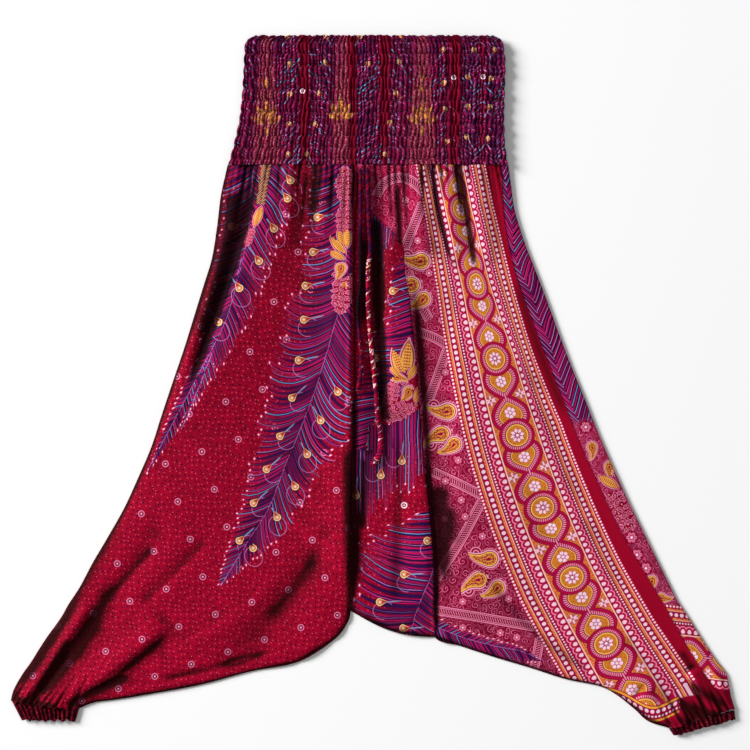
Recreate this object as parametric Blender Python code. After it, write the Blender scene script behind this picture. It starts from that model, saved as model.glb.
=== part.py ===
"""Harem pants laid flat, front up: a smocked waistband, two wide legs of front and back panels that lie on
each other, elastic ankle cuffs and two twisted cloth ties.

The frame is +X towards the wearer's left, +Y towards the waist and +Z up, in metres. The origin is on the
surface that the garment lies on, under the middle of its outline. Tables are in millimetres.
"""

import math
from collections import namedtuple

import bmesh
import bpy
import numpy as np

MM = 0.001

# Cloth
PLY = 1.5  # wall of every panel
GAP = 0.3  # clearance at seams and between layers
PUFF = 3.5  # how far the front layer rises off the back one, away from the edges
ROLL = 12.0  # distance over which it rises
WAIST_Y = 291.0  # lower edge of the smocked band
WAIST_RISE = 3.0  # extra rise where the gathers leave the band
WAIST_FADE = 45.0
WRAP_RADIUS = 4.0  # how far the left leg's back panel bulges at its folded outer edge

# Grid of each panel: columns across each stretch of a section
COLUMNS_LEG = 16
COLUMNS_CENTRE = 9
COLUMNS_BORDER = 18
COLUMNS_BACK = 5
COLUMNS_TURN = 5
COLUMNS_STRIP = 3

# Smocked band
BAND_PLEATS = 30
PLEAT_DEPTH = 1.0
BAND_BACK_TOP = 2.9
BAND_FRONT_BASE = 4.2
BAND_WALL = 1.8
BAND_CROWN = 2.2  # rise of the front over the back in the middle

# Cuffs: flattened elastic tubes
CUFF_HEIGHT = 7.0
CUFF_WALL = 1.9
CUFF_SIDES = 36
CUFF_RUFFLES = 11
RUFFLE_DEPTH = 0.8
CUFF_ROWS = 3

# Ties
TIE_LONG_RADIUS = 3.0
TIE_SHORT_RADIUS = 2.6
TIE_CLEARANCE = 1.2
TIE_STEP = 13.0  # distance between the points of a tie's centre line

Section = namedtuple("Section", "outer_x outer_y inner_x inner_y")
Border = namedtuple("Border", "selvedge_x selvedge_y outline_x outline_y inner_x inner_y")
Point = namedtuple("Point", "x y")
Fold = namedtuple("Fold", "x0 y0 xm ym x1 y1 left_width right_width height")

# Centre front seam, from the band down to the crotch
FRONT_SEAM = [
    Point(-23, 291),
    Point(-14, 261),
    Point(-1, 227),
    Point(38, 190),
    Point(43, 149),
    Point(50, 109),
    Point(54, 66),
    Point(59, 21),
    Point(62, -25),
    Point(66, -70),
    Point(70, -115),
    Point(75, -161),
    Point(79, -206),
    Point(82, -249),
    Point(82, -294),
    Point(83, -338),
]
BACK_SEAM_TOP_X = 0.0
BACK_SEAM_BEND = 1.5

# Right leg: from the outer edge to the deep fold beside the centre, then to the inseam
RIGHT_LEG = [
    Section(-193, 291, -30, 291),
    Section(-202, 251, -27, 258),
    Section(-207, 211, -27, 225),
    Section(-214, 167, -27, 191),
    Section(-225, 131, -27, 151),
    Section(-238, 89, -27, 111),
    Section(-251, 47, -26, 71),
    Section(-266, 3, -26, 29),
    Section(-281, -42, -26, -14),
    Section(-295, -85, -26, -57),
    Section(-313, -127, -26, -99),
    Section(-331, -166, -26, -142),
    Section(-353, -205, -26, -182),
    Section(-373, -239, -26, -222),
    Section(-390, -271, -27, -262),
    Section(-405, -294, -29, -303),
    Section(-414, -310, -35, -322),
    Section(-423, -323, -53, -343),
    Section(-434, -338, -99, -371),
    Section(-445, -355, -163, -384),
    Section(-455, -371, -227, -401),
    Section(-465, -385, -291, -413),
    Section(-473, -398, -339, -421),
    Section(-479, -410, -370, -425),
    Section(-482, -422, -391, -433),
]
CROTCH_SAG = 10.0  # how far the hem edge between the deep fold and the centre seam hangs below a straight line

# Left leg: the selvedge of its front, the outline beyond it, and its inner edge
LEFT_LEG = [
    Border(171, 291, 181, 291, -23, 291),
    Border(173, 258, 185, 261, -14, 261),
    Border(175, 221, 190, 229, -1, 227),
    Border(182, 181, 203, 187, 38, 190),
    Border(193, 138, 217, 151, 43, 149),
    Border(206, 101, 233, 109, 50, 109),
    Border(222, 58, 250, 62, 54, 66),
    Border(239, 15, 267, 18, 59, 21),
    Border(257, -31, 285, -26, 62, -25),
    Border(275, -77, 302, -69, 66, -70),
    Border(295, -122, 322, -115, 70, -115),
    Border(315, -165, 341, -157, 75, -161),
    Border(335, -205, 361, -198, 79, -206),
    Border(355, -239, 379, -235, 82, -249),
    Border(371, -266, 394, -265, 82, -294),
    Border(385, -289, 406, -289, 83, -338),
    Border(393, -303, 414, -301, 117, -350),
    Border(401, -318, 423, -315, 163, -365),
    Border(410, -334, 433, -331, 210, -379),
    Border(419, -350, 445, -350, 257, -394),
    Border(429, -366, 458, -369, 301, -403),
    Border(439, -382, 471, -386, 325, -415),
    Border(451, -399, 475, -402, 349, -434),
    Border(465, -417, 478, -418, 367, -450),
    Border(475, -434, 483, -434, 394, -459),
]

# The largest folds of the front layer. Each is a ridge through three points, with its own width on the left
# and on the right as one walks from its first point to its last.
FOLDS = [
    Fold(-177, 282, -218, 111, -326, -145, 13, 10, 8.0),
    Fold(-142, 282, -173, 151, -267, -62, 60, 9, 6.5),
    Fold(-32, 282, -31, -22, -31, -310, 4, 42, 10.0),
    Fold(23, 235, 24, 111, 30, -49, 30, 8, 7.0),
    Fold(43, 150, 60, -49, 76, -325, 7, 30, 5.5),
    Fold(119, 111, 121, -115, 127, -342, 70, 20, 4.5),
    Fold(-372, -285, -437, -383, -473, -428, 8, 10, 7.5),
    Fold(-270, -318, -374, -401, -434, -436, 7, 26, 7.0),
    Fold(-230, -395, -323, -414, -387, -428, 7, 7, 3.0),
    Fold(351, -409, 381, -433, 415, -456, 13, 13, 6.0),
    Fold(421, -379, 441, -409, 455, -440, 8, 8, 5.0),
    Fold(452, -374, 466, -403, 474, -433, 7, 7, 4.0),
    Fold(-110, 291, -112, 240, -116, 180, 9, 9, 3.5),
    Fold(-66, 291, -66, 240, -68, 190, 9, 9, 3.5),
    Fold(58, 291, 62, 225, 70, 160, 10, 10, 3.5),
    Fold(98, 291, 104, 225, 112, 160, 10, 10, 3.5),
    Fold(138, 291, 145, 225, 158, 160, 10, 10, 3.0),
]
FOLD_FADE = 0.16  # share of a fold's length over which it rises and dies away at an open end

# Band outline, top to bottom: its left and right edges
BandRow = namedtuple("BandRow", "y left_x right_x")
BAND_OUTLINE = [
    BandRow(464, -164, 169),
    BandRow(452, -170, 174),
    BandRow(430, -171, 177),
    BandRow(391, -173, 176),
    BandRow(352, -177, 175),
    BandRow(320, -184, 176),
    BandRow(291.6, -192, 180),
]

# Cuffs: the line on which each joins its leg, and its open end
Cuff = namedtuple("Cuff", "name top_left top_right end_left end_right")
CUFFS = [
    Cuff("cuff_right", Point(-481, -422.8), Point(-391, -433.8), Point(-468, -448), Point(-396, -449)),
    Cuff("cuff_left", Point(394.5, -460), Point(482, -435), Point(401, -470), Point(483.5, -447)),
]

# Ties: the route of each, seen from above
TIE_LONG = [
    Point(-7, 286),
    Point(-6, 251),
    Point(-5, 211),
    Point(-3, 178),
    Point(-6, 152),
    Point(-6, 120),
    Point(-5, 87),
    Point(-2, 51),
    Point(2, 15),
    Point(5, -17),
    Point(6, -38),
    Point(9, -59),
    Point(11, -75),
    Point(9, -94),
    Point(-1, -109),
]
TIE_SHORT = [
    Point(-16, 286),
    Point(-16, 245),
    Point(-16, 191),
    Point(-16, 134),
    Point(-19, 107),
    Point(-19, 82),
    Point(-17, 58),
    Point(-15, 34),
    Point(-16, 10),
    Point(-20, -9),
]

# Colours
CRIMSON = (0.33, 0.004, 0.030, 1.0)
MAROON = (0.12, 0.003, 0.014, 1.0)
PLUM = (0.16, 0.010, 0.090, 1.0)
OCHRE_RED = (0.45, 0.080, 0.030, 1.0)


# ---------------------------------------------------------------- surfaces


def outline_points():
    """The whole garment's outline below the band, as one closed run of points."""
    left_side = [(row.outer_x, row.outer_y) for row in RIGHT_LEG]
    right_bottom = [(row.inner_x, row.inner_y) for row in reversed(RIGHT_LEG[15:])]
    crotch = [(27.0, -329.0)]
    left_bottom = [(row.inner_x, row.inner_y) for row in LEFT_LEG[15:]]
    right_side = [(row.outline_x, row.outline_y) for row in reversed(LEFT_LEG)]
    return np.array(left_side + right_bottom + crotch + left_bottom + right_side, float)


OUTLINE = outline_points()
OPEN_EDGES = {len(RIGHT_LEG) - 1, len(OUTLINE) - len(LEFT_LEG) - 1}  # the two runs that a cuff closes


def edge_distance(x, y):
    """Distance from each plan point to the garment's outline, leaving out the band and the cuffs."""
    nearest = np.full(np.shape(x), 1e9)
    for i in range(len(OUTLINE) - 1):
        if i in OPEN_EDGES:
            continue
        ax, ay = OUTLINE[i]
        bx, by = OUTLINE[i + 1]
        dx, dy = bx - ax, by - ay
        along = np.clip(((x - ax) * dx + (y - ay) * dy) / (dx * dx + dy * dy), 0, 1)
        nearest = np.minimum(nearest, np.hypot(x - ax - along * dx, y - ay - along * dy))
    return nearest


def smooth(low, high, value):
    t = np.clip((value - low) / (high - low), 0, 1)
    return t * t * (3 - 2 * t)


def fold_height(fold, x, y):
    """Height that one ridge adds at each plan point."""
    best = np.full(np.shape(x), 1e9)
    side = np.zeros(np.shape(x))
    place = np.zeros(np.shape(x))
    steps = 12
    t = np.linspace(0, 1, steps + 1)
    cx, cy = 2 * fold.xm - (fold.x0 + fold.x1) / 2, 2 * fold.ym - (fold.y0 + fold.y1) / 2
    px = (1 - t) ** 2 * fold.x0 + 2 * t * (1 - t) * cx + t**2 * fold.x1
    py = (1 - t) ** 2 * fold.y0 + 2 * t * (1 - t) * cy + t**2 * fold.y1
    for i in range(steps):
        dx, dy = px[i + 1] - px[i], py[i + 1] - py[i]
        length = math.hypot(dx, dy)
        raw = ((x - px[i]) * dx + (y - py[i]) * dy) / length**2
        low = -1e9 if i == 0 else 0.0
        high = 1e9 if i == steps - 1 else 1.0
        along = np.clip(raw, low, high)
        offx, offy = x - px[i] - along * dx, y - py[i] - along * dy
        distance = np.hypot(offx, offy)
        nearer = distance < best
        best = np.where(nearer, distance, best)
        side = np.where(nearer, np.sign(dx * offy - dy * offx), side)
        place = np.where(nearer, (i + along) / steps, place)
    width = np.where(side > 0, fold.left_width, fold.right_width)
    start = 1.0 if fold.y0 >= WAIST_Y - 10 else smooth(0, FOLD_FADE, place)
    end = 1.0 if fold.y1 <= -426 else smooth(1, 1 - FOLD_FADE, place)
    ends = smooth(-0.04, 0.0, place) * smooth(1.04, 1.0, place)
    return fold.height * np.exp(-((best / width) ** 2)) * start * end * ends


def front_height(x, y):
    """Top of the front layer above the surface, at each plan point."""
    x, y = np.asarray(x, float), np.asarray(y, float)
    distance = edge_distance(x, y)
    rise = PUFF * (1 - np.exp(-distance / ROLL))
    rise = rise + WAIST_RISE * np.exp(-np.maximum(WAIST_Y - y, 0) / WAIST_FADE)
    folds = sum(fold_height(fold, x, y) for fold in FOLDS)
    return PLY + GAP + PLY + rise + folds * (1 - np.exp(-distance / ROLL))


def front_point(x, y):
    """(top point, bottom point) of the front layer's wall over one plan point."""
    step = 0.5
    z = front_height(x, y)
    slope_x = (front_height(x + step, y) - front_height(x - step, y)) / (2 * step)
    slope_y = (front_height(x, y + step) - front_height(x, y - step)) / (2 * step)
    normal = np.stack([-slope_x, -slope_y, np.ones_like(z)], axis=-1)
    normal /= np.linalg.norm(normal, axis=-1, keepdims=True)
    top = np.stack([x, y, z], axis=-1)
    return top, top - PLY * normal


# ---------------------------------------------------------------- meshes


def material(name, colour, roughness):
    made = bpy.data.materials.get(name)
    if made is None:
        made = bpy.data.materials.new(name)
        made.use_nodes = True
        shader = made.node_tree.nodes["Principled BSDF"]
        shader.inputs["Base Color"].default_value = colour
        shader.inputs["Roughness"].default_value = roughness
        made.diffuse_color = colour
    return made


def wall_object(name, outside, inside, quads, cloth):
    """One closed wall between two matching sets of points. quads wind so that they face out on the outside."""
    mesh = bmesh.new()
    outer = [mesh.verts.new(point * MM) for point in outside]
    inner = [mesh.verts.new(point * MM) for point in inside]
    edges = {}
    for quad in quads:
        mesh.faces.new([outer[i] for i in quad])
        mesh.faces.new([inner[i] for i in reversed(quad)])
        for a, b in zip(quad, quad[1:] + quad[:1]):
            edges[(a, b)] = True
    for a, b in edges:
        if (b, a) not in edges:
            mesh.faces.new([outer[b], outer[a], inner[a], inner[b]])
    data = bpy.data.meshes.new(name)
    mesh.to_mesh(data)
    mesh.free()
    made = bpy.data.objects.new(name, data)
    bpy.context.scene.collection.objects.link(made)
    data.materials.append(cloth)
    data.shade_smooth()
    return made


def grid_quads(rows, columns, index):
    """Quads of a grid whose columns run towards +X and whose rows run towards -Y, facing up."""
    return [
        (index(r, c), index(r + 1, c), index(r + 1, c + 1), index(r, c + 1))
        for r in range(rows - 1)
        for c in range(columns - 1)
    ]


def inset(start, end, gap):
    """The two ends of a section, with the second pulled back by a gap."""
    length = math.hypot(end[0] - start[0], end[1] - start[1])
    back = gap / length
    return start, (end[0] - (end[0] - start[0]) * back, end[1] - (end[1] - start[1]) * back)


def section_points(start, end, columns, sag=0.0):
    t = np.linspace(0, 1, columns)
    x = start[0] + (end[0] - start[0]) * t
    y = start[1] + (end[1] - start[1]) * t - sag * np.sin(math.pi * t)
    return np.stack([x, y], axis=-1)


def right_leg_plan(seam, columns_leg, columns_centre):
    """Plan points and quads of a right leg panel: outer edge to deep fold, then deep fold to centre seam."""
    points = []
    for row in RIGHT_LEG:
        points.extend(section_points((row.outer_x, row.outer_y), (row.inner_x, row.inner_y), columns_leg))
    leg_index = lambda r, c: r * columns_leg + c
    quads = grid_quads(len(RIGHT_LEG), columns_leg, leg_index)
    first = len(points)
    for r, stop in enumerate(seam):
        row = RIGHT_LEG[r]
        start, end = inset((row.inner_x, row.inner_y), (stop[0], stop[1]), GAP)
        sag = CROTCH_SAG if r == len(seam) - 1 else 0.0
        points.extend(section_points(start, end, columns_centre, sag)[1:])
    centre_index = lambda r, c: (
        leg_index(r, columns_leg - 1) if c == 0 else first + r * (columns_centre - 1) + c - 1
    )
    quads += grid_quads(len(seam), columns_centre, centre_index)
    return np.array(points), quads


def back_seam():
    """The centre back seam, level with the rows of the front one."""
    top, bottom = FRONT_SEAM[0], FRONT_SEAM[-1]
    points = []
    for point in FRONT_SEAM:
        down = (top.y - point.y) / (top.y - bottom.y)
        points.append((BACK_SEAM_TOP_X + (bottom.x - BACK_SEAM_TOP_X) * down**BACK_SEAM_BEND, point.y))
    return points


def front_wall(name, plan, quads, cloth):
    top, bottom = front_point(plan[:, 0], plan[:, 1])
    return wall_object(name, top, bottom, quads, cloth)


def flat_wall(name, plan, quads, cloth):
    top = np.column_stack([plan, np.full(len(plan), PLY)])
    bottom = np.column_stack([plan, np.zeros(len(plan))])
    return wall_object(name, top, bottom, quads, cloth)


def build_right_leg():
    plan, quads = right_leg_plan(FRONT_SEAM, COLUMNS_LEG, COLUMNS_CENTRE)
    front_wall("leg_right_front", plan, quads, material("dotted_cloth", CRIMSON, 0.72))
    plan, quads = right_leg_plan(back_seam(), COLUMNS_BACK + 1, COLUMNS_BACK - 2)
    flat_wall("leg_right_back", plan, quads, material("back_cloth", CRIMSON, 0.72))


def build_left_front():
    points = []
    for row in LEFT_LEG:
        start, end = inset((row.inner_x, row.inner_y), (row.selvedge_x, row.selvedge_y), GAP)
        points.extend(section_points(start, end, COLUMNS_BORDER))
    quads = grid_quads(len(LEFT_LEG), COLUMNS_BORDER, lambda r, c: r * COLUMNS_BORDER + c)
    front_wall("leg_left_front", np.array(points), quads, material("border_cloth", OCHRE_RED, 0.72))


def turned_section(inner, selvedge, outline):
    """One section of the left leg's back: along the surface, round the outer edge and back to the selvedge.
    Returns its outside and inside points."""
    inner, selvedge, outline = (np.array(point, float) for point in (inner, selvedge, outline))
    reach = np.linalg.norm(outline - selvedge)
    out = (outline - selvedge) / reach
    radius = min(WRAP_RADIUS, 0.45 * reach)
    pivot = outline - radius * out
    outside, inside = [], []
    for t in np.linspace(0, 1, COLUMNS_BACK):
        x, y = inner + (pivot - inner) * t
        outside.append((x, y, 0.0))
        inside.append((x, y, PLY))
    top_z = float(front_height(pivot[0], pivot[1]))
    half, half_inside = top_z / 2, top_z / 2 - PLY
    for turn in np.linspace(-math.pi / 2, math.pi / 2, COLUMNS_TURN + 2)[1:-1]:
        x, y = pivot + out * radius * math.cos(turn)
        outside.append((x, y, half + half * math.sin(turn)))
        x, y = pivot + out * (radius - PLY) * math.cos(turn)
        inside.append((x, y, half + half_inside * math.sin(turn)))
    for t in np.linspace(0, 1, COLUMNS_STRIP):
        x, y = pivot + (selvedge - pivot) * t
        z = float(front_height(x, y))
        outside.append((x, y, z))
        inside.append((x, y, z - PLY))
    return outside, inside


def build_left_back():
    seam = back_seam()
    outside, inside = [], []
    for r, row in enumerate(LEFT_LEG):
        inner = (row.inner_x, row.inner_y)
        if r < len(seam):
            inner = (seam[r][0] + GAP, seam[r][1])
        section = turned_section(inner, (row.selvedge_x, row.selvedge_y), (row.outline_x, row.outline_y))
        outside.extend(section[0])
        inside.extend(section[1])
    columns = COLUMNS_BACK + COLUMNS_TURN + COLUMNS_STRIP
    quads = [
        tuple(reversed(quad)) for quad in grid_quads(len(LEFT_LEG), columns, lambda r, c: r * columns + c)
    ]
    cloth = material("plume_cloth", PLUM, 0.72)
    wall_object("leg_left_back", np.array(outside), np.array(inside), quads, cloth)


def band_plan(columns):
    """Plan points of the band, row by row from its top edge down."""
    return np.array(
        [(x, row.y) for row in BAND_OUTLINE for x in np.linspace(row.left_x, row.right_x, columns)]
    )


def build_band():
    rows = len(BAND_OUTLINE)
    columns = 2 * BAND_PLEATS + 1
    plan = band_plan(columns)
    quads = grid_quads(rows, columns, lambda r, c: r * columns + c)
    column = np.tile(np.arange(columns), rows)
    pleat = PLEAT_DEPTH * (column % 2)
    crown = BAND_CROWN * np.sin(math.pi * column / (columns - 1)) ** 0.5
    bottom = np.column_stack([plan, BAND_FRONT_BASE + crown + pleat])
    top = bottom + np.array([0, 0, BAND_WALL])
    wall_object("waistband_front", top, bottom, quads, material("smocked_cloth", PLUM, 0.75))
    columns = BAND_PLEATS // 2 + 1
    plan = band_plan(columns)
    quads = grid_quads(rows, columns, lambda r, c: r * columns + c)
    pleat = PLEAT_DEPTH * (np.tile(np.arange(columns), rows) % 2)
    top = np.column_stack([plan, BAND_BACK_TOP - PLEAT_DEPTH + pleat])
    bottom = np.column_stack([plan, np.zeros(len(plan))])
    wall_object("waistband_back", top, bottom, quads, material("smocked_back_cloth", PLUM, 0.75))


def rounded(value, power):
    return math.copysign(abs(value) ** power, value)


def build_cuff(cuff):
    """A flattened tube with gathers round it, open at both ends. Its rows run from the leg to its open end."""
    outside, inside = [], []
    half_height = CUFF_HEIGHT / 2
    squareness = 0.55
    for r in range(CUFF_ROWS):
        down = r / (CUFF_ROWS - 1)
        left = np.array(cuff.top_left) * (1 - down) + np.array(cuff.end_left) * down
        right = np.array(cuff.top_right) * (1 - down) + np.array(cuff.end_right) * down
        middle, half = (left + right) / 2, (right - left) / 2
        half_width = np.linalg.norm(half)
        across = half / half_width
        for s in range(CUFF_SIDES):
            angle = 2 * math.pi * s / CUFF_SIDES
            ruffle = RUFFLE_DEPTH * (0.5 - 0.5 * math.cos(CUFF_RUFFLES * angle))
            ruffle *= max(0.0, math.sin(angle))
            wide = rounded(math.cos(angle), squareness)
            high = rounded(math.sin(angle), squareness)
            for points, pull in ((outside, 0.0), (inside, CUFF_WALL)):
                x, y = middle + across * (half_width - pull) * wide
                points.append((x, y, half_height + (half_height - pull - ruffle * (pull == 0)) * high))
    quads = []
    for r in range(CUFF_ROWS - 1):
        for s in range(CUFF_SIDES):
            after = (s + 1) % CUFF_SIDES
            here, below = r * CUFF_SIDES, (r + 1) * CUFF_SIDES
            quads.append((here + s, here + after, below + after, below + s))
    cloth = material("cuff_cloth", MAROON, 0.8)
    made = wall_object(cuff.name, np.array(outside), np.array(inside), quads, cloth)
    mesh = bmesh.new()
    mesh.from_mesh(made.data)
    bmesh.ops.recalc_face_normals(mesh, faces=mesh.faces)
    mesh.to_mesh(made.data)
    mesh.free()


def smooth_route(points, step):
    """Evenly spaced points along a Catmull-Rom curve through the route's own points."""
    route = np.array(points, float)
    ends = np.vstack([2 * route[0] - route[1], route, 2 * route[-1] - route[-2]])
    dense = []
    for i in range(1, len(ends) - 2):
        a, b, c, d = ends[i - 1 : i + 3]
        for t in np.linspace(0, 1, 12, endpoint=False):
            dense.append(
                0.5 * (2 * b + (c - a) * t + (2 * a - 5 * b + 4 * c - d) * t**2 + (3 * b - a - 3 * c + d) * t**3)
            )
    dense = np.array(dense + [route[-1]])
    travel = np.concatenate([[0], np.cumsum(np.linalg.norm(np.diff(dense, axis=0), axis=1))])
    places = np.linspace(0, travel[-1], max(2, round(travel[-1] / step) + 1))
    return np.column_stack([np.interp(places, travel, dense[:, k]) for k in range(2)])


def resting_height(plan, radius):
    """Height of a tie's centre line where it lies on the cloth under it, clear by a little on both sides."""
    reach = radius + 1.0
    highest = np.zeros(len(plan))
    for turn in np.linspace(0, 2 * math.pi, 12, endpoint=False):
        for share in (0.0, 0.5, 1.0):
            x = plan[:, 0] + share * reach * math.cos(turn)
            y = plan[:, 1] + share * reach * math.sin(turn)
            under = front_height(x, y) + radius * math.sqrt(max(0.0, 1 - share**2))
            highest = np.maximum(highest, under)
    eased = highest.copy()
    for shift in (1, 2):
        eased[shift:] = np.maximum(eased[shift:], highest[:-shift])
        eased[:-shift] = np.maximum(eased[:-shift], highest[shift:])
    return (highest + eased) / 2 + TIE_CLEARANCE


def build_tie(name, points, radius):
    plan = smooth_route(points, TIE_STEP)
    heights = resting_height(plan, radius)
    data = bpy.data.curves.new(name, "CURVE")
    data.dimensions = "3D"
    data.bevel_depth = radius * MM
    data.bevel_resolution = 2
    data.use_fill_caps = True
    spline = data.splines.new("POLY")
    spline.points.add(len(plan) - 1)
    for point, (x, y), z in zip(spline.points, plan, heights):
        point.co = (x * MM, y * MM, z * MM, 1.0)
    tie = bpy.data.objects.new(name, data)
    bpy.context.scene.collection.objects.link(tie)
    data.materials.append(material("tie_cloth", CRIMSON, 0.7))


def main():
    for old in list(bpy.data.objects):
        bpy.data.objects.remove(old)
    build_right_leg()
    build_left_front()
    build_left_back()
    build_band()
    for cuff in CUFFS:
        build_cuff(cuff)
    build_tie("drawstring_long", TIE_LONG, TIE_LONG_RADIUS)
    build_tie("drawstring_short", TIE_SHORT, TIE_SHORT_RADIUS)


main()
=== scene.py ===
# %% [markdown]
# # Harem pants laid flat
# A wide smocked waistband, two full legs printed with long plumes, paisleys and a beaded border, gathered
# cuffs and two twisted ties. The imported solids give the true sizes. The cells below lay fine printed cloth
# over them.

# %% Load the frame
import math
from collections import namedtuple

import bmesh
import bpy
import numpy as np
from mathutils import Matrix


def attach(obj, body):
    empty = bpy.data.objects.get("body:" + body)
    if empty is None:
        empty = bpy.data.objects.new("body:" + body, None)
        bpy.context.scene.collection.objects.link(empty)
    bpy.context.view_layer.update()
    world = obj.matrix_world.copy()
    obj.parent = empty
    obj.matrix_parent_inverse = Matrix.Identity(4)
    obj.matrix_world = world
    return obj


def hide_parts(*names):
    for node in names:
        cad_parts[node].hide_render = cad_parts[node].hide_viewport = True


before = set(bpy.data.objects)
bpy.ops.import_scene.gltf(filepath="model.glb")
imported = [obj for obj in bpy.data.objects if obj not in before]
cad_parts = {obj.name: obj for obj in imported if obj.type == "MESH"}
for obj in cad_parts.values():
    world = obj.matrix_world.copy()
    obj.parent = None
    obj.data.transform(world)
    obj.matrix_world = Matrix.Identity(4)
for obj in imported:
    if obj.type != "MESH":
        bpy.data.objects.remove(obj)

MM = 0.001
TURN = 2 * math.pi
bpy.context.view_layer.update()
print("nodes:", ", ".join(sorted(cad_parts)))

# %% [markdown]
# ## Camera, light and floor
# The garment lies on its back and is seen from straight above. A long lens far away keeps the view almost
# parallel, so the flat cloth isn't stretched towards the edges. One broad soft light comes in low from the
# left, because a fold only reads when one side of it is darker. A pale world fills the other side.

# %% Camera
def put_in_scene(name, data):
    made = bpy.data.objects.new(name, data)
    bpy.context.scene.collection.objects.link(made)
    return made


VIEW_WIDTH = 1.0  # metres across the picture at the height of the cloth
CAMERA_HEIGHT = 4.0
SENSOR = 36.0
VIEW_CENTRE = (0.0033, 0.0113)

lens = bpy.data.cameras.new("overhead")
lens.sensor_width = SENSOR
lens.lens = SENSOR * CAMERA_HEIGHT / VIEW_WIDTH
camera = put_in_scene("overhead", lens)
camera.location = (*VIEW_CENTRE, CAMERA_HEIGHT)
bpy.context.scene.camera = camera
print("lens, mm:", round(lens.lens, 1))

# %% Lights, world and floor
def soft_light(name, place, target, width, watts):
    data = bpy.data.lights.new(name, "AREA")
    data.shape = "DISK"
    data.size = width
    data.energy = watts
    light = put_in_scene(name, data)
    light.location = place
    aim = np.array(target) - np.array(place)
    flat = math.hypot(aim[0], aim[1])
    light.rotation_euler = (math.atan2(flat, -aim[2]), 0.0, math.atan2(aim[1], aim[0]) - math.pi / 2)
    return light


soft_light("window", place=(-11.0, 5.0, 6.0), target=(0.0, 0.0, 0.0), width=6.0, watts=3000.0)
soft_light("overhead_fill", place=(0.5, -0.3, 3.2), target=(0.0, 0.0, 0.0), width=2.4, watts=10.0)

SKY_STRENGTH = 0.26
scene = bpy.context.scene
scene.view_settings.view_transform = "Standard"
scene.view_settings.look = "None"
world = bpy.data.worlds.new("pale_room")
scene.world = world
world.use_nodes = True
sky = world.node_tree.nodes["Background"]
sky.inputs["Color"].default_value = (1.0, 1.0, 1.0, 1.0)
sky.inputs["Strength"].default_value = SKY_STRENGTH

bpy.ops.mesh.primitive_plane_add(size=12.0, location=(0.0, 0.0, -0.0006))
floor = bpy.context.object
floor.name = "pale_floor"
floor_paint = bpy.data.materials.new("pale_floor")
floor_paint.use_nodes = True
surface = floor_paint.node_tree.nodes["Principled BSDF"]
surface.inputs["Base Color"].default_value = (0.93, 0.93, 0.93, 1.0)
surface.inputs["Roughness"].default_value = 0.9
floor.data.materials.append(floor_paint)
print("stage:", floor.name)

# %% [markdown]
# ## How the cloth lies
# The front layer is a height above the surface for each point seen from above: a soft rise from the edges, a
# little more where the gathers leave the band, and a row of ridges and troughs, listed one by one. The large
# ridges are those of the solids. The smaller creases and the gathers are added here.

# %% Sizes and outlines, in millimetres
PLY = 1.5
GAP = 0.3
PUFF = 3.5
ROLL = 12.0
WAIST_Y = 291.0
WAIST_RISE = 3.0
WAIST_FADE = 45.0
WRAP_RADIUS = 4.0
CROTCH_SAG = 10.0

print("cloth of the solids, mm:", PLY)

# %% Outlines of the legs
FRONT_SEAM = np.array([
    (-23, 291), (-14, 261), (-1, 227), (38, 190), (43, 149), (50, 109), (54, 66), (59, 21), (62, -25),
    (66, -70), (70, -115), (75, -161), (79, -206), (82, -249), (82, -294), (83, -338),
], float)
# outer x, outer y, inner x, inner y
RIGHT_LEG = np.array([
    (-193, 291, -30, 291), (-202, 251, -27, 258), (-207, 211, -27, 225), (-214, 167, -27, 191),
    (-225, 131, -27, 151), (-238, 89, -27, 111), (-251, 47, -26, 71), (-266, 3, -26, 29),
    (-281, -42, -26, -14), (-295, -85, -26, -57), (-313, -127, -26, -99), (-331, -166, -26, -142),
    (-353, -205, -26, -182), (-373, -239, -26, -222), (-390, -271, -27, -262), (-405, -294, -29, -303),
    (-414, -310, -35, -322), (-423, -323, -53, -343), (-434, -338, -99, -371), (-445, -355, -163, -384),
    (-455, -371, -227, -401), (-465, -385, -291, -413), (-473, -398, -339, -421), (-479, -410, -370, -425),
    (-482, -422, -391, -433),
], float)
# selvedge x, y, outline x, y, inner x, y
LEFT_LEG = np.array([
    (171, 291, 181, 291, -23, 291), (173, 258, 185, 261, -14, 261), (175, 221, 190, 229, -1, 227),
    (182, 181, 203, 187, 38, 190), (193, 138, 217, 151, 43, 149), (206, 101, 233, 109, 50, 109),
    (222, 58, 250, 62, 54, 66), (239, 15, 267, 18, 59, 21), (257, -31, 285, -26, 62, -25),
    (275, -77, 302, -69, 66, -70), (295, -122, 322, -115, 70, -115), (315, -165, 341, -157, 75, -161),
    (335, -205, 361, -198, 79, -206), (355, -239, 379, -235, 82, -249), (371, -266, 394, -265, 82, -294),
    (385, -289, 406, -289, 83, -338), (393, -303, 414, -301, 117, -350), (401, -318, 423, -315, 163, -365),
    (410, -334, 433, -331, 210, -379), (419, -350, 445, -350, 257, -394), (429, -366, 458, -369, 301, -403),
    (439, -382, 471, -386, 325, -415), (451, -399, 475, -402, 349, -434), (465, -417, 478, -418, 367, -450),
    (475, -434, 483, -434, 394, -459),
], float)
SEAM_ROWS = len(FRONT_SEAM)
print("rows of the outlines:", SEAM_ROWS, len(RIGHT_LEG), len(LEFT_LEG))

# %% [markdown]
# A fold is a smooth ridge through three points, with its own width on each side. A height below zero makes it
# a trough. Real cloth has a few large folds, which the solids share, and many small ones.

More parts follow.
